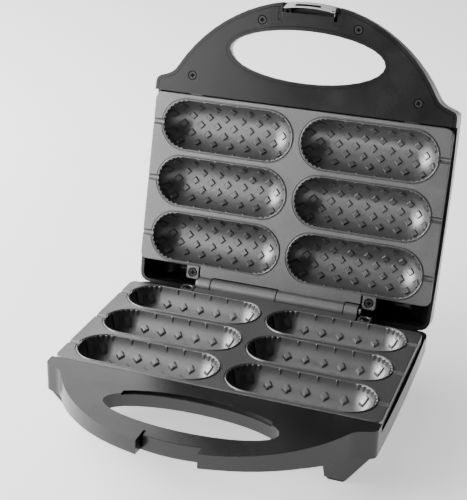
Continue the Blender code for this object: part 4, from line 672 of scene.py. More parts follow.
@dataclass(frozen=True)
class Bowl:
    """One half-round cavity with round ends, its raised rim and its waffle diamonds.

    A bowl is worked out in plan: every place has a spine point on the bowl's middle line and a distance
    r from it. Depth is the circle sqrt(R^2 - r^2) less the rise of its axis.
    """

    half: float = 18.2 * MM
    deep: float = 17.4 * MM
    length: float = 101.0 * MM
    rim_outer: float = 18.95 * MM
    rim_height: float = 0.45 * MM
    rim_power: float = 0.4
    line_outer: float = 19.97 * MM
    line_depth: float = 0.8 * MM
    wall: float = 2.6 * MM
    pitch: float = 13.1 * MM
    row: float = 6.4 * MM
    steps_along: int = 6
    steps_across: int = 2
    tip_share: float = 0.45
    half_long: float = 3.4 * MM
    half_across: float = 3.35 * MM
    stud_height: float = 1.15 * MM
    stud_shares: tuple[float, ...] = (1.03, 1.0, 0.76, 0.72, 0.0)
    stud_root: float = 0.35 * MM
    stud_foot: float = 0.04 * MM
    stud_shoulder: float = 0.94
    least_root: float = 0.25 * MM
    least_top: float = 0.06 * MM
    tooth: tuple[float, float] = (0.75 * MM, 1.5 * MM)
    tick: tuple[float, float] = (0.85 * MM, 0.8 * MM)
    teeth: int = 15
    teeth_to: float = math.radians(84.0)
    rib_sides: int = 12
    rib_shares: tuple[float, ...] = (1.0, 1.0, 0.78, 0.0)
    rib_top: float = 0.04 * MM
    rib_shoulder: float = 0.3 * MM
    rib_root: float = 0.4 * MM
    rib_least: float = 0.2 * MM

    @property
    def radius(self) -> float:
        """Radius of the circle through the bowl's edges and its deepest line."""
        return (self.half ** 2 + self.deep ** 2) / (2 * self.deep)

    @property
    def rise(self) -> float:
        """How far the circle's centre lies outside the face."""
        return self.radius - self.deep

    @property
    def straight(self) -> float:
        """Half the distance between the centres of the round ends."""
        return self.length / 2 - self.half

    def reach(self, x: np.ndarray, s: np.ndarray) -> np.ndarray:
        """Distance of plan places from the spine, a line between the centres of the round ends."""
        return np.hypot(np.maximum(np.abs(x) - self.straight, 0.0), s)

    def depth(self, x: np.ndarray, s: np.ndarray, lift: float | np.ndarray = 0.0) -> np.ndarray:
        """Depth of the wall at plan places, drawn in towards its axis by lift, or zero above the face."""
        square = np.maximum((self.radius - lift) ** 2 - self.reach(x, s) ** 2, 0.0)
        return np.maximum(np.sqrt(square) - self.rise, 0.0)

    def lattice(self) -> np.ndarray:
        """The staggered diamonds whose inner tip reaches the bowl: every other row is half a pitch on.

        Returns:
            Their plan centres, as (studs, 2).
        """
        i, j = np.meshgrid(np.arange(-self.steps_along, self.steps_along + 1),
                           np.arange(-self.steps_across, self.steps_across + 1))
        x = (i + 0.5 * (np.abs(j) % 2)) * self.pitch
        s = j * self.row
        inside = self.reach(x, s) < self.half + self.tip_share * self.half_long
        return np.stack([x[inside], s[inside]], axis=-1)

    def diamonds(self) -> np.ndarray:
        """All diamonds as (studs, rings, 8, 3) of (x, s, depth).

        Each ring is a diamond in plan, eight points with one at each side's middle. Its half width is
        full in the middle and times the cosine of the wall's slope further up. Rings shrink with
        their lift: sunk root, foot, upper edge, flat top and centre. The depth of each point is the
        wall's, drawn in by the ring's lift, so tops follow the bowl and walls rise with the mould.

        Returns:
            The grid of points.
        """
        corner = np.array([(1, 0), (0.5, 0.5), (0, 1), (-0.5, 0.5),
                           (-1, 0), (-0.5, -0.5), (0, -1), (0.5, -0.5)])
        share = np.array(self.stud_shares)
        lift = np.array([-self.stud_root, self.stud_foot, self.stud_shoulder * self.stud_height,
                         self.stud_height, self.stud_height])
        centre = self.lattice()
        slope = np.sqrt(np.maximum(1.0 - (centre[:, 1] / self.radius) ** 2, 0.0))
        half = np.stack([np.full_like(slope, self.half_long), self.half_across * slope], -1)
        ring = corner[None] * half[:, None]
        plan = centre[:, None, None] + share[None, :, None, None] * ring[:, None]
        depth = self.depth(plan[..., 0], plan[..., 1], lift[None, :, None])
        floor = np.where(lift < 0, self.least_root, self.least_top)[None, :, None]
        return np.concatenate([plan, np.maximum(depth, floor)[..., None]], axis=-1)

    def rib_places(self) -> tuple[np.ndarray, np.ndarray, np.ndarray]:
        """Where the small upright ribs round the edge stand.

        Round each end they stand at equal angles; along the straight sides they stand between the
        diamonds of the next row in.

        Returns:
            Plan centres, outward directions, and half sizes across and along the edge.
        """
        angle = np.linspace(-self.teeth_to, self.teeth_to, self.teeth)
        way = np.concatenate([np.stack([np.cos(angle), np.sin(angle)], -1),
                              np.stack([-np.cos(angle), np.sin(angle)], -1)])
        centre = way * self.half + np.sign(way) * np.array([self.straight, 0.0])
        along = (np.arange(-self.steps_along, self.steps_along) + 0.5) * self.pitch
        along = along[np.abs(along) < self.straight]
        for side in (-1.0, 1.0):
            centre = np.concatenate([centre, np.stack([along, np.full_like(along, side * self.half)], -1)])
            way = np.concatenate([way, np.tile([0.0, side], (len(along), 1))])
        half = np.tile(self.tooth, (len(centre), 1))
        half[2 * self.teeth:] = self.tick
        return centre, way, half

    def ribs(self) -> np.ndarray:
        """The ribs as (ribs, rings, 12, 3) of (x, s, depth).

        Each is an upright post, an ellipse in plan, from inside the wall up to just under the face.
        Its wall goes straight down, and its upper edge is a small chamfer.

        Returns:
            The grid of points.
        """
        centre, way, half = self.rib_places()
        turn = around(self.rib_sides)
        side = np.stack([-way[:, 1], way[:, 0]], -1)
        round_plan = (np.cos(turn)[None, :, None] * (way * half[:, :1])[:, None]
                      + np.sin(turn)[None, :, None] * (side * half[:, 1:])[:, None])
        share = np.array(self.rib_shares)
        plan = centre[:, None, None] + share[None, :, None, None] * round_plan[:, None]
        level = np.array([0.0, self.rib_shoulder, self.rib_top, self.rib_top])
        depth = np.tile(level[None, :, None], (len(centre), 1, len(turn)))
        root = np.maximum(self.depth(plan[:, 0, :, 0], plan[:, 0, :, 1]), self.rib_least)
        depth[:, 0] = root + self.rib_root
        return np.concatenate([plan, depth[..., None]], axis=-1)


@dataclass
class BakingPlate:
    """A cast plate: face with six bowls, skirt, stick grooves, screw ears, tongues and hinge barrels."""

    side: Side
    tongue_depth: float
    barrels: tuple[tuple[float, float], ...]
    bowl: Bowl = field(default_factory=Bowl)
    half_width: float = 113.0 * MM
    rear: float = 12.4 * MM
    front: float = 141.2 * MM
    corner: float = 5.0 * MM
    edge: float = 0.7 * MM
    skirt: float = 6.2 * MM
    skirt_wall: float = 3.0 * MM
    thick: float = 4.0 * MM
    column: float = 54.1 * MM
    first_row: float = 33.1 * MM
    row_pitch: float = 42.72 * MM
    groove_depth: float = 2.3 * MM
    groove_half: float = 2.5 * MM
    groove_power: float = 2.5
    bowl_rings: int = 17
    back_rings: int = 9
    bead_steps: tuple[float, ...] = (0.02, 0.07, 0.17, 0.33, 0.5, 0.67, 0.83, 0.93, 0.98, 1.0)
    line_steps: tuple[float, ...] = (0.15, 0.35, 0.65, 0.85, 1.0)
    end_rays: tuple[float, ...] = (0, 1, 2, 3, 4, 5, 6, 7, 8, 9, 10.5, 12.5, 15, 18, 21.5, 25.5, 30, 35, 40)
    side_rays: int = 11
    barrel_radius: float = 5.6 * MM
    barrel_chamfer: float = 0.35 * MM
    barrel_sides: int = 32
    bore: float = 2.3 * MM
    web_rear: float = 3.4 * MM
    web_thick: float = 4.6 * MM
    web_edge: float = 0.25 * MM
    lap: float = 1.2 * MM
    tab_end: float = 62.8 * MM
    tab_gap: float = 0.6 * MM
    tab_lap: float = 1.6 * MM
    step: float = 0.02 * MM
    ear_sides: int = 40
    ear_x: float = 69.0 * MM
    ear_f: float = 7.8 * MM
    ear_radius: float = 4.9 * MM
    ear_corner: float = 1.6 * MM
    seat_radius: float = 3.5 * MM
    seat_deep: float = 2.3 * MM
    hole_radius: float = 1.8 * MM
    ear_thick: float = 5.0 * MM
    ear_top: float = 0.1 * MM
    ear_soft: float = 0.3 * MM
    tongue_x: float = 82.0 * MM
    tongue_half: float = 5.0 * MM
    tongue_reach: float = 3.5 * MM
    tongue_thick: float = 2.0 * MM
    tongue_play: float = 0.3 * MM
    tongue_edge: float = 0.4 * MM
    boss_half: float = 4.2 * MM
    boss_span: tuple[float, float] = (2.0 * MM, 24.5 * MM)
    boss_edge: float = 3.0 * MM

    def cells(self) -> list[tuple[float, float, tuple[float, float], tuple[float, float]]]:
        """Each bowl's centre and the plan rectangle of the face round it.

        Returns:
            For each bowl its centre's x and f, and the rectangle's lowest and highest x and f.
        """
        side_x = self.half_width - self.edge
        found = []
        for row in range(3):
            centre = self.first_row + row * self.row_pitch
            low = self.rear + self.edge if row == 0 else centre - self.row_pitch / 2
            high = self.front - self.edge if row == 2 else centre + self.row_pitch / 2
            found.append((self.column, centre, (0.0, side_x), (low, high)))
            found.append((-self.column, centre, (-side_x, 0.0), (low, high)))
        return found

    def loop(self, centre: tuple[float, float], x: tuple[float, float],
             f: tuple[float, float]) -> tuple[np.ndarray, np.ndarray, np.ndarray]:
        """A ring of rays from a bowl's spine to the rectangle round it.

        Round each end a ray's angle runs from 0 to 45 degrees towards the short side and from 45 to 90
        towards the long side. On the short side it ends at edge sin(angle) plus a cubic share that
        brings the last one to the corner, so that the rays beside the stick groove are parallel.

        Args:
            centre: the bowl's middle, as (x, f).
            x: the rectangle's lowest and highest x.
            f: its lowest and highest f.

        Returns:
            Spine points, unit directions and end points, each (rays, 2) from the bowl's middle.
        """
        short = np.radians(self.end_rays)
        quarter = math.pi / 4
        long = np.linspace(quarter, 2 * quarter, self.side_rays)[:-1]
        straight = self.bowl.straight
        run = np.linspace(straight, -straight, self.side_rays)
        spines, ways, ends = [], [], []
        limit_x = {1: x[1] - centre[0], -1: centre[0] - x[0]}
        limit_f = {1: f[1] - centre[1], -1: centre[1] - f[0]}
        for sx, sf, backwards in ((1, 1, False), (-1, 1, True), (-1, -1, False), (1, -1, True)):
            reach_x, reach_f = limit_x[sx], limit_f[sf]
            side_f = self.bowl.half * np.sin(short)
            side_f = side_f + (reach_f - self.bowl.half * math.sin(quarter)) * (short / quarter) ** 3
            top_x = straight + (reach_x - straight) * (2 * quarter - long) / quarter
            angle = np.concatenate([short, long])
            end = np.concatenate([np.stack([np.full_like(short, reach_x), side_f], -1),
                                  np.stack([top_x, np.full_like(long, reach_f)], -1)])
            way = np.stack([np.cos(angle), np.sin(angle)], -1)
            spine = np.tile([straight, 0.0], (len(angle), 1))
            flip = np.array([sx, sf])
            parts = [spine * flip, way * flip, end * flip]
            if backwards:
                parts = [part[::-1] for part in parts]
            for store, part in zip((spines, ways, ends), parts):
                store.append(part)
            if not backwards:
                line = np.stack([run * sx, np.zeros_like(run)], -1)
                spines.append(line)
                ways.append(np.tile([0.0, float(sf)], (len(run), 1)))
                ends.append(line + np.array([0.0, sf * reach_f]))
        return np.concatenate(spines), np.concatenate(ways), np.concatenate(ends)

    def outward(self, plan: np.ndarray) -> tuple[np.ndarray, np.ndarray]:
        """Round the plate's corners and find which way is out.

        Args:
            plan: places on the face's rectangles, as (..., 2).

        Returns:
            The places, moved onto the corner arcs where they lie beyond them, and unit vectors that
            point out of the plate on its outline and are zero elsewhere.
        """
        half = self.half_width - self.edge
        middle = (self.rear + self.front) / 2
        along = (self.front - self.rear) / 2 - self.edge
        radius = self.corner - self.edge
        local = plan - np.array([0.0, middle])
        over = np.abs(local) - (np.array([half, along]) - radius)
        at_corner = (over > 0).all(axis=-1)
        span = np.maximum(np.linalg.norm(over, axis=-1, keepdims=True), TINY)
        arc = np.sign(local) * (np.array([half, along]) - radius + over / span * radius)
        moved = np.where(at_corner[..., None] & (span > radius), arc, local)
        on_side = np.abs(over - radius) < NEAR
        normal = np.where(at_corner[..., None], np.sign(local) * over / span, np.sign(local) * on_side)
        return moved + np.array([0.0, middle]), normal

    def face_depth(self, reach: np.ndarray) -> np.ndarray:
        """Depth of the face, rim bead and line round it by distance from the spine.

        The bead stands proud of the face by its height times sin to the power 0.4, a low arch with
        steep flanks from the bowl's edge to the rim's outer line. A narrow line, a half sine wave
        deep, runs round it.

        Args:
            reach: distances from the spine.

        Returns:
            Depths from the parting plane.
        """
        bowl = self.bowl
        share = np.clip((reach - bowl.half) / (bowl.rim_outer - bowl.half), 0.0, 1.0)
        bead = bowl.rim_height * np.maximum(np.sin(math.pi * share), 0.0) ** bowl.rim_power
        beyond = np.clip((reach - bowl.rim_outer) / (bowl.line_outer - bowl.rim_outer), 0.0, 1.0)
        line = bowl.line_depth * np.maximum(np.sin(math.pi * beyond), 0.0)
        inside = np.sqrt(np.maximum(bowl.radius ** 2 - reach ** 2, 0.0)) - bowl.rise
        return PARTING + np.where(reach < bowl.half, np.maximum(inside, 0.0), line - bead)

    def grooved(self, x: np.ndarray, f: np.ndarray, depth: np.ndarray,
                centre: tuple[float, float]) -> np.ndarray:
        """Cut the stick groove from the bowl's outer end to the plate's edge.

        Its depth is its full depth times 1 - (|f| / half)^2.5, and the deeper of groove and face holds.

        Args:
            x: places across the plate.
            f: places along it.
            depth: what the face has there.
            centre: the bowl's middle.

        Returns:
            The deeper surface.
        """
        beside = np.abs(f - centre[1]) / self.groove_half
        groove = self.groove_depth * (1.0 - np.minimum(beside, 1.0) ** self.groove_power)
        outside = np.abs(x) > abs(centre[0]) + self.bowl.straight
        return np.where(outside & (beside < 1.0), np.maximum(depth, groove), depth)

    def add_casting(self, shape: Shape) -> None:
        """Append the plate's face, back and skirt, cell by cell.

        Args:
            shape: gathers the surfaces.
        """
        bowl = self.bowl
        arc = np.sin(np.linspace(0.0, math.asin(bowl.half / bowl.radius), self.bowl_rings)) * bowl.radius
        bead = bowl.half + (bowl.rim_outer - bowl.half) * np.array(self.bead_steps)
        line = bowl.rim_outer + (bowl.line_outer - bowl.rim_outer) * np.array(self.line_steps)
        levels = np.concatenate([arc, bead, line])
        outer = bowl.radius + bowl.wall
        under = PARTING + self.thick
        meet = math.sqrt(outer ** 2 - (self.thick + bowl.rise) ** 2)
        back = np.sin(np.linspace(0.0, math.asin(meet / outer), self.back_rings)) * outer
        for cx, cf, x, f in self.cells():
            centre = np.array([cx, cf])
            spine, way, end = self.loop((cx, cf), x, f)
            end, normal = self.outward(end + centre)
            rings = centre + spine[None] + way[None] * levels[:, None, None]
            depth = np.tile(self.face_depth(levels)[:, None], (1, len(spine)))
            plan = np.concatenate([rings, end[None]])
            depth = np.concatenate([depth, np.full((1, len(end)), PARTING)])
            depth = self.grooved(plan[..., 0], plan[..., 1], depth, (cx, cf))
            shape.add_grid(self.side.place(plan[..., 0], plan[..., 1], depth), wrap_columns=True)
            inner = end - normal * (self.skirt_wall - self.edge)
            rings = centre + spine[None] + way[None] * back[:, None, None]
            depth = PARTING - bowl.rise + np.sqrt(outer ** 2 - back ** 2)
            plan = np.concatenate([rings, inner[None]])
            depth = np.concatenate([depth, [under]])[:, None]
            shape.add_grid(self.side.place(plan[..., 0], plan[..., 1], depth), wrap_columns=True)
            self.add_skirt(shape, end, normal, inner, (cx, cf))

    def add_skirt(self, shape: Shape, end: np.ndarray, normal: np.ndarray, inner: np.ndarray,
                  centre: tuple[float, float]) -> None:
        """Append the rounded edge, outer side, lower edge and inner side beside one cell.

        The edge is a quarter circle: out by edge sin(a) and down by edge (1 - cos(a)).

        Args:
            shape: gathers the surface.
            end: the cell's outline.
            normal: outward directions, zero on lines shared with other cells.
            inner: the outline of the hollow underneath.
            centre: the bowl's middle.
        """
        keep = np.linalg.norm(normal, axis=-1) > 0.5
        pairs = keep & np.roll(keep, -1)
        bend = quarter_turn(5)
        out = np.concatenate([self.edge * np.sin(bend), [self.edge]])
        down = np.concatenate([PARTING + self.edge * (1 - np.cos(bend)), [PARTING + self.skirt]])
        plan = end[None] + normal[None] * out[:, None, None]
        depth = self.grooved(plan[..., 0], plan[..., 1], np.tile(down[:, None], (1, len(end))), centre)
        plan = np.concatenate([plan, inner[None], inner[None]])
        low = np.array([PARTING + self.skirt, PARTING + self.thick])
        depth = np.concatenate([depth, np.tile(low[:, None], (1, len(end)))])
        grid = self.side.place(plan[..., 0], plan[..., 1], depth)
        rows, columns = grid.shape[:2]
        first = np.nonzero(pairs)[0]
        after = (first + 1) % columns
        step = (np.arange(rows - 1) * columns)[:, None]
        quads = np.stack([step + first, step + after, step + columns + after, step + columns + first], -1)
        shape.add(grid, quads.reshape(-1, 4))

    def add_studs(self, shape: Shape) -> None:
        """Append the diamonds and ribs of all bowls."""
        for cx, cf, _, _ in self.cells():
            for local in (self.bowl.diamonds(), self.bowl.ribs()):
                x, f, h = np.moveaxis(local, -1, 0)
                shape.add_loft(self.side.place(cx + x, cf + f, PARTING + h))

    def add_barrels(self, shape: Shape) -> None:
        """Append the hinge barrels, rings turned about the hinge axis, with the web that carries them.

        The web is a tab of the face that runs to just short of the other half's barrels.

        Args:
            shape: gathers the barrels.
        """
        angle = around(self.barrel_sides)
        chamfer = self.barrel_chamfer
        for low, high in self.barrels:
            radius = np.array([self.bore, self.barrel_radius - chamfer, self.barrel_radius,
                               self.barrel_radius, self.barrel_radius - chamfer, self.bore])
            along = np.array([low, low, low + chamfer, high - chamfer, high, high])
            f = radius[:, None] * np.cos(angle)
            h = radius[:, None] * np.sin(angle)
            shape.add_grid(self.side.place(along[:, None], f, h), wrap_rows=True, wrap_columns=True)
            soft_block(shape, self.side, (low, high), (self.web_rear, self.rear + self.lap),
                       (PARTING + self.step, PARTING + self.web_thick), self.web_edge)
        soft_block(shape, self.side, (-self.tab_end, self.tab_end),
                   (self.barrel_radius + self.tab_gap, self.rear + self.tab_lap),
                   (PARTING - self.step, PARTING + self.web_thick), self.web_edge)

    def add_ears(self, shape: Shape) -> None:
        """Append the two screw ears.

        An ear is a ring between a round seat and a rounded rectangle that runs into the plate at the
        front, with a narrower hole under the seat. A ray leaves the rectangle at its nearer side, or
        at a corner's arc.

        Args:
            shape: gathers the ears.
        """
        angle = around(self.ear_sides)
        ray = np.stack([np.cos(angle), np.sin(angle)], -1)
        reach = (self.rear + self.lap - self.ear_f) / np.maximum(ray[:, 1], TINY)
        side_reach = self.ear_radius / np.maximum(np.abs(ray[:, 0]), TINY)
        rear_reach = self.ear_radius / np.maximum(-ray[:, 1], TINY)
        length = np.minimum(np.minimum(reach, side_reach), rear_reach)
        outline = ray * length[:, None]
        over = np.abs(outline) - (self.ear_radius - self.ear_corner)
        span = np.maximum(np.linalg.norm(over, axis=-1, keepdims=True), TINY)
        arc = np.sign(outline) * (self.ear_radius - self.ear_corner + over / span * self.ear_corner)
        at_corner = (over > 0).all(axis=-1, keepdims=True) & (outline[:, 1:] < 0)
        outline = np.where(at_corner, arc, outline)
        top, low = PARTING + self.ear_top, PARTING + self.ear_thick
        floor = PARTING + self.seat_deep
        soft = self.ear_soft
        seat, hole = ray * self.seat_radius, ray * self.hole_radius
        rows = [(ray * (self.seat_radius + soft), top), (seat, top + soft), (seat, floor), (hole, floor),
                (hole, low), (outline, low), (outline, top + soft), (outline - ray * soft, top)]
        plan = np.stack([row for row, _ in rows])
        level = np.array([h for _, h in rows])[:, None]
        for end in (-1, 1):
            grid = self.side.place(end * self.ear_x + plan[..., 0], self.ear_f + plan[..., 1], level)
            shape.add_grid(grid, wrap_rows=True, wrap_columns=True)

    def add_tongues(self, shape: Shape) -> None:
        """Append the tongues that slip under the handle, and the bosses between the bowls.

        Args:
            shape: gathers the blocks.
        """
        top = PARTING + self.tongue_depth + self.tongue_play
        for end in (-1, 1):
            x = mirrored(end, self.tongue_x - self.tongue_half, self.tongue_x + self.tongue_half)
            soft_block(shape, self.side, x, (self.front - self.lap, self.front + self.tongue_reach),
                       (top, top + self.tongue_thick), self.tongue_edge)
        for share in (0.5, 1.5):
            middle = self.first_row + self.row_pitch * share
            soft_block(shape, self.side, (-self.boss_half, self.boss_half),
                       (middle - self.boss_half, middle + self.boss_half),
                       (PARTING + self.boss_span[0], self.boss_span[1]), self.boss_edge)

    def build(self, name: str) -> bpy.types.Object:
        """Make the whole plate one piece.

        Args:
            name: name of the piece.

        Returns:
            The new object, painted.
        """
        shape = Shape()
        self.add_casting(shape)
        self.add_studs(shape)
        self.add_barrels(shape)
        self.add_ears(shape)
        self.add_tongues(shape)
        return Paint.on(shape.build(name, smooth_angle=30.0, even=True), PLATE_GREY)


# Assemblies


@dataclass
class Plates:
    """Both baking plates, which replace the plain CAD plates."""

    long_end: float = 52.0 * MM
    short_end: float = 62.5 * MM
    gap: float = 0.2 * MM
    base_cover: float = 2.5 * MM
    lid_cover: float = 3.6 * MM

    def build(self) -> list[bpy.types.Object]:
        """Make the plates and let them ride on their halves.

        Returns:
            The new pieces.
        """
        base = BakingPlate(Side.BASE, self.base_cover, ((-self.long_end + self.gap, -self.gap),
                                                        (self.long_end + self.gap, self.short_end)))
        lid = BakingPlate(Side.LID, self.lid_cover, ((-self.short_end, -self.long_end - self.gap),
                                                     (self.gap, self.long_end - self.gap)))
        made = []
        for plate, name, node, body in ((base, "base_plate_cast", "base_plate", Body.BASE),
                                        (lid, "lid_plate_cast", "lid_plate", Body.LID)):
            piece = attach(plate.build(name), body.value)
            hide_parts(node)
            made.append(piece)
        return made


@dataclass
class Shells:
    """The plastic shells: CAD copies with softened edges."""

    nodes: dict[str, bpy.types.Object]
    width: float = 0.55 * MM
    base_width: float = 0.8 * MM
    cover_width: float = 0.4 * MM

    def build(self) -> list[bpy.types.Object]:
        """Make the softened shells.

        Returns:
            The new pieces.
        """
        rows = (("lid_casing", Body.LID, self.width), ("lid_handle_cover", Body.LID, self.cover_width),
                ("base_casing", Body.BASE, self.base_width), ("base_bottom_cover", Body.BASE, self.width))
        made = []
        for node, body, width in rows:
            piece = Paint.on(softened_copy(self.nodes[node], node + "_shell", width), CASE_BLACK)
            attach(piece, body.value)
            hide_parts(node)
            made.append(piece)
        return made


@dataclass
class Latch:
    """The latch: a silver band with a sloped lip along the handle's arc, on dark arms, with a bar of
    painted shade in its slot.
    """

    inner: float = 107.5 * MM
    outer: float = 112.0 * MM
    shell: float = 1.7 * MM
    half: float = 19.0 * MM
    end_round: float = 1.7 * MM
    low: float = -6.4 * MM
    slope: float = 7.0 * MM
    high: float = 11.5 * MM
    slot_half: float = 9.5 * MM
    slot_mid: float = -1.9 * MM
    slot_from: float = 0.3
    slot_to: float = 0.66
    slot_depth: float = 1.3 * MM
    slot_fill: float = 0.3 * MM
    slot_side: float = 0.02
    slot_end: float = 0.012
    slot_play: float = 0.97
    run_shares: tuple[float, ...] = (-1, -0.9, -0.75, -0.45, -0.3, -0.15, 0, 0.2, 0.55, 0.75, 0.9, 1)
    lip_soft: float = 0.12
    lip_turn: float = 0.6
    top_soft: tuple[float, float] = (0.4 * MM, 0.5 * MM)
    shell_bend: float = 2.0 * MM
    shell_foot: tuple[float, float] = (0.3 * MM, 2.6 * MM)
    arm_inner: float = 15.4 * MM
    arm_outer: float = 18.2 * MM
    arm_low: float = -2.6 * MM
    arm_short: float = 1.5 * MM
    arm_step: float = 0.2 * MM
    hook_inner: float = 16.3 * MM
    hook_rear: float = 210.9 * MM
    hook_low: float = 1.0 * MM
    hook_high: float = -2.2 * MM
    front: float = 213.0 * MM
    panel_half: float = 19.1 * MM
    panel: tuple[float, float] = (8.6 * MM, 10.0 * MM)
    panel_inset: float = 0.3 * MM
    pivot_f: float = 209.5 * MM
    pivot_h: float = 7.5 * MM
    pivot_reach: float = 3.0 * MM
    pivot_step: float = 0.1 * MM
    pivot_edge: float = 1.2 * MM
    soft: float = 0.25 * MM

    @property
    def inward(self) -> np.ndarray:
        """The lip's normal into the band, as (radius, h)."""
        across = self.outer - self.inner
        return np.array([-self.slope, across]) / math.hypot(across, self.slope)

    def profile(self) -> np.ndarray:
        """The band's section, seen from its end.

        The lip slopes from the inner front edge to the outer one. The slot's two rows on the lip are
        pushed in along the lip's normal. Behind the lip the band is a thin shell.

        Returns:
            Points as (points, 4): radius, h, share along the lip, and how far slotted.
        """
        soft = self.lip_soft
        turn = soft * math.hypot(self.outer - self.inner, self.slope) * self.lip_turn
        share = np.array([0.0, soft, self.slot_from - self.slot_side, self.slot_from, self.slot_to,
                          self.slot_to + self.slot_side, 1.0 - soft, 1.0])
        slotted = np.array([0, 0, 0, 1, 1, 0, 0, 0], dtype=float)
        radius = self.inner + (self.outer - self.inner) * share
        level = self.low + self.slope * share
        level[[0, -1]] += turn
        lip = np.stack([radius, level, share, slotted], -1)
        back = np.array([[self.outer, self.high - self.top_soft[1], 1.0, 0.0],
                         [self.outer - self.top_soft[0], self.high, 1.0, 0.0],
                         [self.outer - self.shell, self.high, 0.9, 0.0],
                         [self.outer - self.shell, self.low + self.slope + self.shell_bend, 0.9, 0.0],
                         [self.inner + self.shell_foot[0], self.low + self.shell_foot[1], 0.1, 0.0]])
        return np.concatenate([lip, back])

    def band(self, shape: Shape) -> None:
        """Append the silver band: its section carried along the arc, with round outer ends.

        At each place across, the section's radius r gives f = centre + sqrt(r^2 - x^2). The ends draw
        in by the square of the share along the lip, and the slot is pushed in only inside its length.

        Args:
            shape: gathers the band.
        """
        section = self.profile()
        ends = (np.array([-1.0, -1.0, 1.0, 1.0]) * self.slot_half + self.slot_mid) / self.half
        ends += np.array([-1.0, 1.0, -1.0, 1.0]) * self.slot_end
        run = np.sort(np.concatenate([ends, self.run_shares]))[:, None]
        x = run * (self.half - self.end_round * section[None, :, 2] ** 2)
        within = np.abs(run * self.half - self.slot_mid) < self.slot_half
        inside = within.astype(float) * section[None, :, 3]
        radius = section[None, :, 0] + inside * self.inward[0] * self.slot_depth
        level = section[None, :, 1] + inside * self.inward[1] * self.slot_depth
        shape.add_loft(Side.LID.place(x, arc_front(radius, x), level))

    def painted_slot_shade(self, shape: Shape) -> None:
        """Append the slot's painted shade, a thin near-black bar along the arc a little under the lip.

        Its section has four corners: the slot's two edges on the lip, pushed in along the lip's normal
        by the fill depth and by the slot's own depth.

        Args:
            shape: gathers the bar.
        """
        run = np.linspace(-self.slot_half, self.slot_half, 9)[:, None] * self.slot_play + self.slot_mid
        share = np.array([self.slot_from, self.slot_to, self.slot_to, self.slot_from])
        push = np.array([self.slot_fill, self.slot_fill, self.slot_depth, self.slot_depth])
        radius = self.inner + (self.outer - self.inner) * share + push * self.inward[0]
        level = self.low + self.slope * share + push * self.inward[1]
        shape.add_loft(Side.LID.place(run, arc_front(radius[None], run), level[None]))

    def build(self) -> list[bpy.types.Object]:
        """Make the silver band, the dark arms and panel behind it, and the bar of painted shade in the
        slot.

        Returns:
            The new pieces.
        """
        # floor gathers the slot's bar of painted shade.
        silver, dark, floor = Shape(), Shape(), Shape()
        self.band(silver)
        self.painted_slot_shade(floor)
        soft_block(dark, Side.LID, (self.hook_inner, self.arm_outer), (self.hook_rear, self.front),
                   (self.low + self.hook_low, self.hook_high), self.soft)
        pivot_rear = self.pivot_f - self.pivot_reach
        arc_block(dark, Side.LID, np.linspace(-self.panel_half, self.panel_half, 13),
                  pivot_rear + self.panel_inset, self.outer - self.panel_inset, self.panel)
        for end in (-1, 1):
            arm = mirrored(end, self.arm_inner, self.arm_outer)
            soft_block(dark, Side.LID, arm, (self.hook_rear + self.arm_step, self.front),
                       (self.arm_low, self.high - self.arm_short), self.soft)
            soft_block(dark, Side.LID, arm, (pivot_rear, self.front - self.pivot_step),
                       (self.pivot_h - self.pivot_reach, self.pivot_h + self.pivot_reach), self.pivot_edge)
        band = Paint.on(silver.build("latch_band", smooth_angle=30.0, even=True), LATCH_SILVER)
        arms = Paint.on(dark.build("latch_arms", even=True), CASE_BLACK)
        # The slot's bar is painted near-black to stand in for the shade in the slot.
        slot = Paint.on(floor.build("latch_slot"), PAINTED_RECESS_SHADE)
        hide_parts("latch")
        # The arms are black plastic; the slot's bar is painted shade.
        for piece, name in ((band, "silver_plastic"), (arms, "black_plastic"), (slot, "black_plastic")):
            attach(piece, Body.LATCH.value)
        return [band, arms, slot]


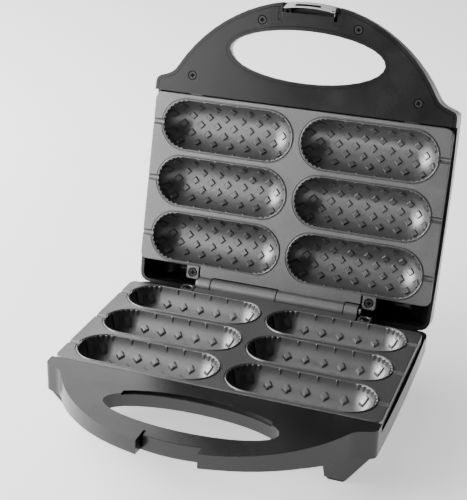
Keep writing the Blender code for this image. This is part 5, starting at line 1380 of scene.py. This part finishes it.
@dataclass
class Mouths:
    """The shaped edges round the latch: the cover's lip on the lid, and the curved wall in the base."""

    lip_rear: float = 202.6 * MM
    lip_front: float = 209.0 * MM
    lip_x: tuple[float, float] = (-21.4 * MM, 17.4 * MM)
    lip_thick: float = 3.4 * MM
    lip_edge: float = 0.25 * MM
    back_f: tuple[float, float] = (205.2 * MM, 209.0 * MM)
    back_h: tuple[float, float] = (11.25 * MM, 12.0 * MM)
    back_edge: float = 0.1 * MM
    cheek_x: tuple[float, float] = (19.35 * MM, 21.6 * MM)
    cheek_h: tuple[float, float] = (2.0 * MM, 11.9 * MM)
    cheek_radius: float = 111.9 * MM
    wall_outer: float = 104.9 * MM
    wall_inner: float = 98.0 * MM
    wall_x: tuple[float, float] = (-18.0 * MM, 19.8 * MM)
    wall_top: float = 0.52 * MM
    wall_low: float = 11.6 * MM
    sill_x: tuple[float, float] = (-19.95 * MM, -17.9 * MM)
    sill_top: float = 8.6 * MM
    wall_soft: float = 0.5 * MM
    soft_share: float = 0.3
    wall_weld: float = 0.0005 * MM
    step: float = 0.01 * MM

    def lip(self) -> bpy.types.Object:
        """The cover's lip under the latch, level with the cover's face, and the cheeks beside it.

        A filler closes the notch behind them.

        Returns:
            The new object.
        """
        shape = Shape()
        soft_block(shape, Side.LID, self.lip_x, (self.lip_rear, self.lip_front),
                   (PARTING - self.step, PARTING + self.lip_thick), self.lip_edge)
        soft_block(shape, Side.LID, (-self.cheek_x[1], self.cheek_x[1]), self.back_f, self.back_h,
                   self.back_edge)
        for end in (-1, 1):
            arc_block(shape, Side.LID, end * np.linspace(*self.cheek_x, 3), self.back_f[0],
                      self.cheek_radius, self.cheek_h)
        return shape.build("lid_latch_lip", even=True)

    def wall(self) -> bpy.types.Object:
        """The base's wall behind the latch, its section carried along the handle's arc.

        At each place across, radius r gives f = centre + sqrt(r^2 - x^2), with a small round at the
        upper and lower front edges. A sill closes the foot of the dark slot at its left.

        Returns:
            The new object.
        """
        shape = Shape()
        soft, bend = self.wall_soft, self.soft_share * self.wall_soft
        radius = np.array([self.wall_inner, self.wall_outer - soft, self.wall_outer - bend, self.wall_outer,
                           self.wall_outer, self.wall_outer - soft, self.wall_inner])
        level = np.array([self.wall_top, self.wall_top, self.wall_top + bend, self.wall_top + soft,
                          self.wall_low - soft, self.wall_low, self.wall_low])
        for span, top in ((self.wall_x, self.wall_top), (self.sill_x, self.sill_top)):
            x = np.linspace(*span, 13)[:, None]
            shape.add_loft(Side.BASE.place(x, arc_front(radius[None], x), np.maximum(level, top)[None]))
        return shape.build("base_latch_wall", weld=self.wall_weld, even=True)

    def build(self) -> list[bpy.types.Object]:
        """Make both pieces and let them ride on their halves.

        Returns:
            The new pieces.
        """
        made = []
        for piece, body in ((self.lip(), Body.LID), (self.wall(), Body.BASE)):
            Paint.on(piece, CASE_BLACK)
            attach(piece, body.value)
            made.append(piece)
        return made


@dataclass
class DriveCrosses:
    """Near-black crosses in the heads of the screws that the opened appliance shows: painted shade standing
    in for the dark of their cross recesses.
    """

    nodes: dict[str, bpy.types.Object]
    rows: tuple[tuple[Side, str, float], ...] = ((Side.LID, "lid_cover_screw", 1.6 * MM),
                                                 (Side.LID, "lid_plate_screw", 1.35 * MM),
                                                 (Side.BASE, "base_plate_screw", 1.35 * MM))
    arm_half: float = 0.62 * MM
    proud: float = 0.03 * MM
    deep: float = 0.9 * MM
    turn: float = math.radians(20.0)

    def cross(self, reach: float) -> np.ndarray:
        """A cross: one arm's two tips and the inner corner after it, turned to four equal directions.

        Args:
            reach: from its middle to an arm's end.

        Returns:
            Its outline, as (12, 2).
        """
        a = self.arm_half
        arm = np.array([[reach, -a], [reach, a], [a, a]])
        ways = self.turn + np.arange(4) * math.pi / 2
        spin = np.stack([np.stack([np.cos(ways), -np.sin(ways)], -1),
                         np.stack([np.sin(ways), np.cos(ways)], -1)], -2)
        return np.einsum("tij,kj->tki", spin, arm).reshape(-1, 2)

    def build(self) -> list[bpy.types.Object]:
        """Make one piece of painted-shade crosses for each half.

        A screw's axis is the middle of its points' x and f, and its head's top is their least h.

        Returns:
            The new pieces.
        """
        made = []
        for side in Side:
            shape = Shape()
            for half, word, reach in self.rows:
                for name in sorted(n for n in self.nodes if half is side and n.startswith(word)):
                    mesh = self.nodes[name].data
                    flat = np.empty(len(mesh.vertices) * 3, dtype=np.float32)
                    mesh.vertices.foreach_get("co", flat)
                    place = side.read(flat.reshape(-1, 3).astype(float))
                    low, high = place.min(axis=0), place.max(axis=0)
                    plan = self.cross(reach) + (low + high)[:2] / 2
                    level = np.array([low[2] - self.proud, low[2] + self.deep])[:, None]
                    shape.add_loft(side.place(plan[None, :, 0], plan[None, :, 1], level))
            # The crosses are painted shade: near-black solids set into the heads where the recesses would
            # fall dark.
            piece = Paint.on(shape.build(side.value + "_screw_cross_painted_shade"), PAINTED_RECESS_SHADE)
            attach(piece, side.value)
            made.append(piece)
        return made


@dataclass
class Fittings:
    """Small parts that stay as their CAD nodes and get their own finish."""

    nodes: dict[str, bpy.types.Object]
    finishes: tuple[tuple[str, Finish], ...] = (
        ("heat_shield", STEEL_DULL), ("heater_clamp", STEEL_DULL), ("heater", ROD_SHEATH),
        ("screw", SCREW_DARK), ("latch_pin", SCREW_DARK), ("pin", STEEL_BRIGHT), ("latch", LATCH_SILVER),
        ("foot", FOOT_RUBBER), ("gland", FOOT_RUBBER),
        ("power_lens", LENS_RED), ("ready_lens", LENS_GREEN), ("lamp", LAMP_GLASS),
        ("lead", SLEEVE), ("fuse", CERAMIC), ("thermostat", CERAMIC), ("terminal", CERAMIC),
        ("plate", PLATE_GREY))

    def finish_of(self, name: str) -> Finish:
        """The first finish whose word is in a node's name, or the case's black."""
        return next((finish for word, finish in self.finishes if word in name), CASE_BLACK)

    def dress(self) -> None:
        """Give every CAD node its finish."""
        for name, node in self.nodes.items():
            Paint.on(node, self.finish_of(name))


@dataclass
class Studio:
    """Floor, lights and the camera at the photograph's viewing angle."""

    azimuth: float = 19.035
    elevation: float = 24.005
    roll: float = 1.642
    distance: float = 837.375 * MM
    aim: tuple[float, float, float] = (-14.954 * MM, 15.499 * MM, 109.113 * MM)
    focal: float = 1217.594
    image_height: float = 500.0
    sensor: float = 36.0
    clip: tuple[float, float] = (0.01, 50.0)
    floor_half: float = 4.0
    floor_glow: float = 0.85
    floor_shades: tuple[tuple[float, float, float], ...] = ((0.9, 0.9, 0.9), (0.88, 0.88, 0.88))
    room_glow: float = 0.03
    lights: tuple[tuple[str, tuple[float, float, float], tuple[float, float], float], ...] = (
        ("left_front_window", (-1.5, -0.75, 0.8), (1.3, 1.6), 72.0),
        ("front_left_card", (-1.04, -1.7, 0.6), (0.7, 1.2), 9.5),
        ("left_card", (-0.78, -0.05, 0.32), (1.1, 0.6), 9.0),
        ("left_rear_window", (-1.5, 0.6, 0.7), (1.2, 1.4), 34.0),
        ("rear_left_card", (-0.9, 1.6, 1.0), (0.8, 0.8), 6.5),
        ("overhead", (-0.75, 0.1, 2.0), (1.5, 1.5), 9.0))

    def camera(self) -> bpy.types.Object:
        """Make the camera.

        Its back direction is (sin a cos e, -cos a cos e, sin e); right and up follow from it and are
        turned by the roll. The focal length in pixels over the picture's height, times the sensor,
        is the lens.

        Returns:
            The camera object.
        """
        a, e, r = (math.radians(v) for v in (self.azimuth, self.elevation, self.roll))
        back = np.array([math.sin(a) * math.cos(e), -math.cos(a) * math.cos(e), math.sin(e)])
        right = np.array([math.cos(a), math.sin(a), 0.0])
        up = np.cross(back, right)
        across = math.cos(r) * right + math.sin(r) * up
        above = -math.sin(r) * right + math.cos(r) * up
        data = bpy.data.cameras.new("camera")
        data.sensor_width = self.sensor
        data.lens = self.focal * self.sensor / self.image_height
        data.clip_start, data.clip_end = self.clip
        made = linked("camera", data)
        place = np.array(self.aim) + back * self.distance
        made.matrix_world = placed(across, above, back, place)
        bpy.context.scene.camera = made
        return made

    def light(self, name: str, place: tuple[float, float, float], size: tuple[float, float],
              power: float, target: tuple[float, float, float] = (0.0, 0.0, 0.1)) -> bpy.types.Object:
        """A soft rectangular light.

        Args:
            name: what it does.
            place: its middle.
            size: its width and height.
            power: watts.
            target: where it faces.

        Returns:
            The light object.
        """
        data = bpy.data.lights.new(name, "AREA")
        data.shape = "RECTANGLE"
        data.size, data.size_y = size
        data.energy = power
        made = linked(name, data)
        made.visible_camera = False
        back = np.array(place) - np.array(target)
        back = back / np.linalg.norm(back)
        right = np.cross([0.0, 0.0, 1.0], back)
        right = right / max(np.linalg.norm(right), TINY)
        up = np.cross(back, right)
        made.matrix_world = placed(right, up, back, place)
        return made

    def floor(self) -> bpy.types.Object:
        """A plain pale floor under the feet, a flat square grid.

        Returns:
            The floor object.
        """
        shape = Shape()
        run = np.linspace(-self.floor_half, self.floor_half, 3)
        x, y = np.meshgrid(run, run)
        shape.add_grid(np.stack([x, y, np.zeros_like(x)], -1))
        made = shape.build("floor")
        tree = Tree("floor_pale")
        tree.set(Specular_IOR_Level=0.2, Emission_Color=(1.0, 1.0, 1.0, 1.0),
                 Emission_Strength=self.floor_glow)
        cloud = tree.noise(3.0, 2.0)
        tree.drive(Base_Color=tree.blend(tree.ramp(cloud), *self.floor_shades),
                   Roughness=tree.ramp(cloud, 0.75, 0.85))
        made.data.materials.append(tree.material)
        return made

    def build(self) -> None:
        """Set the floor, the lights and the camera."""
        self.floor()
        for row in self.lights:
            self.light(*row)
        world = bpy.data.worlds.new("room")
        world.use_nodes = True
        room = world.node_tree.nodes["Background"]
        room.inputs["Color"].default_value = (1.0, 1.0, 1.0, 1.0)
        room.inputs["Strength"].default_value = self.room_glow
        bpy.context.scene.world = world
        self.camera()


def corners(box: tuple) -> list[list[float]]:
    """A pair of corners as plain lists of numbers."""
    return [[float(v) for v in corner] for corner in box]


def main() -> None:
    """Build the looks round the frame."""
    logging.basicConfig(level=logging.INFO, format="%(name)s: %(message)s")
    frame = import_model()
    Studio().build()
    nodes = frame["nodes"]
    Fittings(nodes).dress()
    for assembly in (Plates(), Shells(nodes), Latch(), Mouths(), DriveCrosses(nodes)):
        for piece in assembly.build():
            LOG.info("%s: %d faces", piece.name, len(piece.data.polygons))


if __name__ == "__main__":
    main()
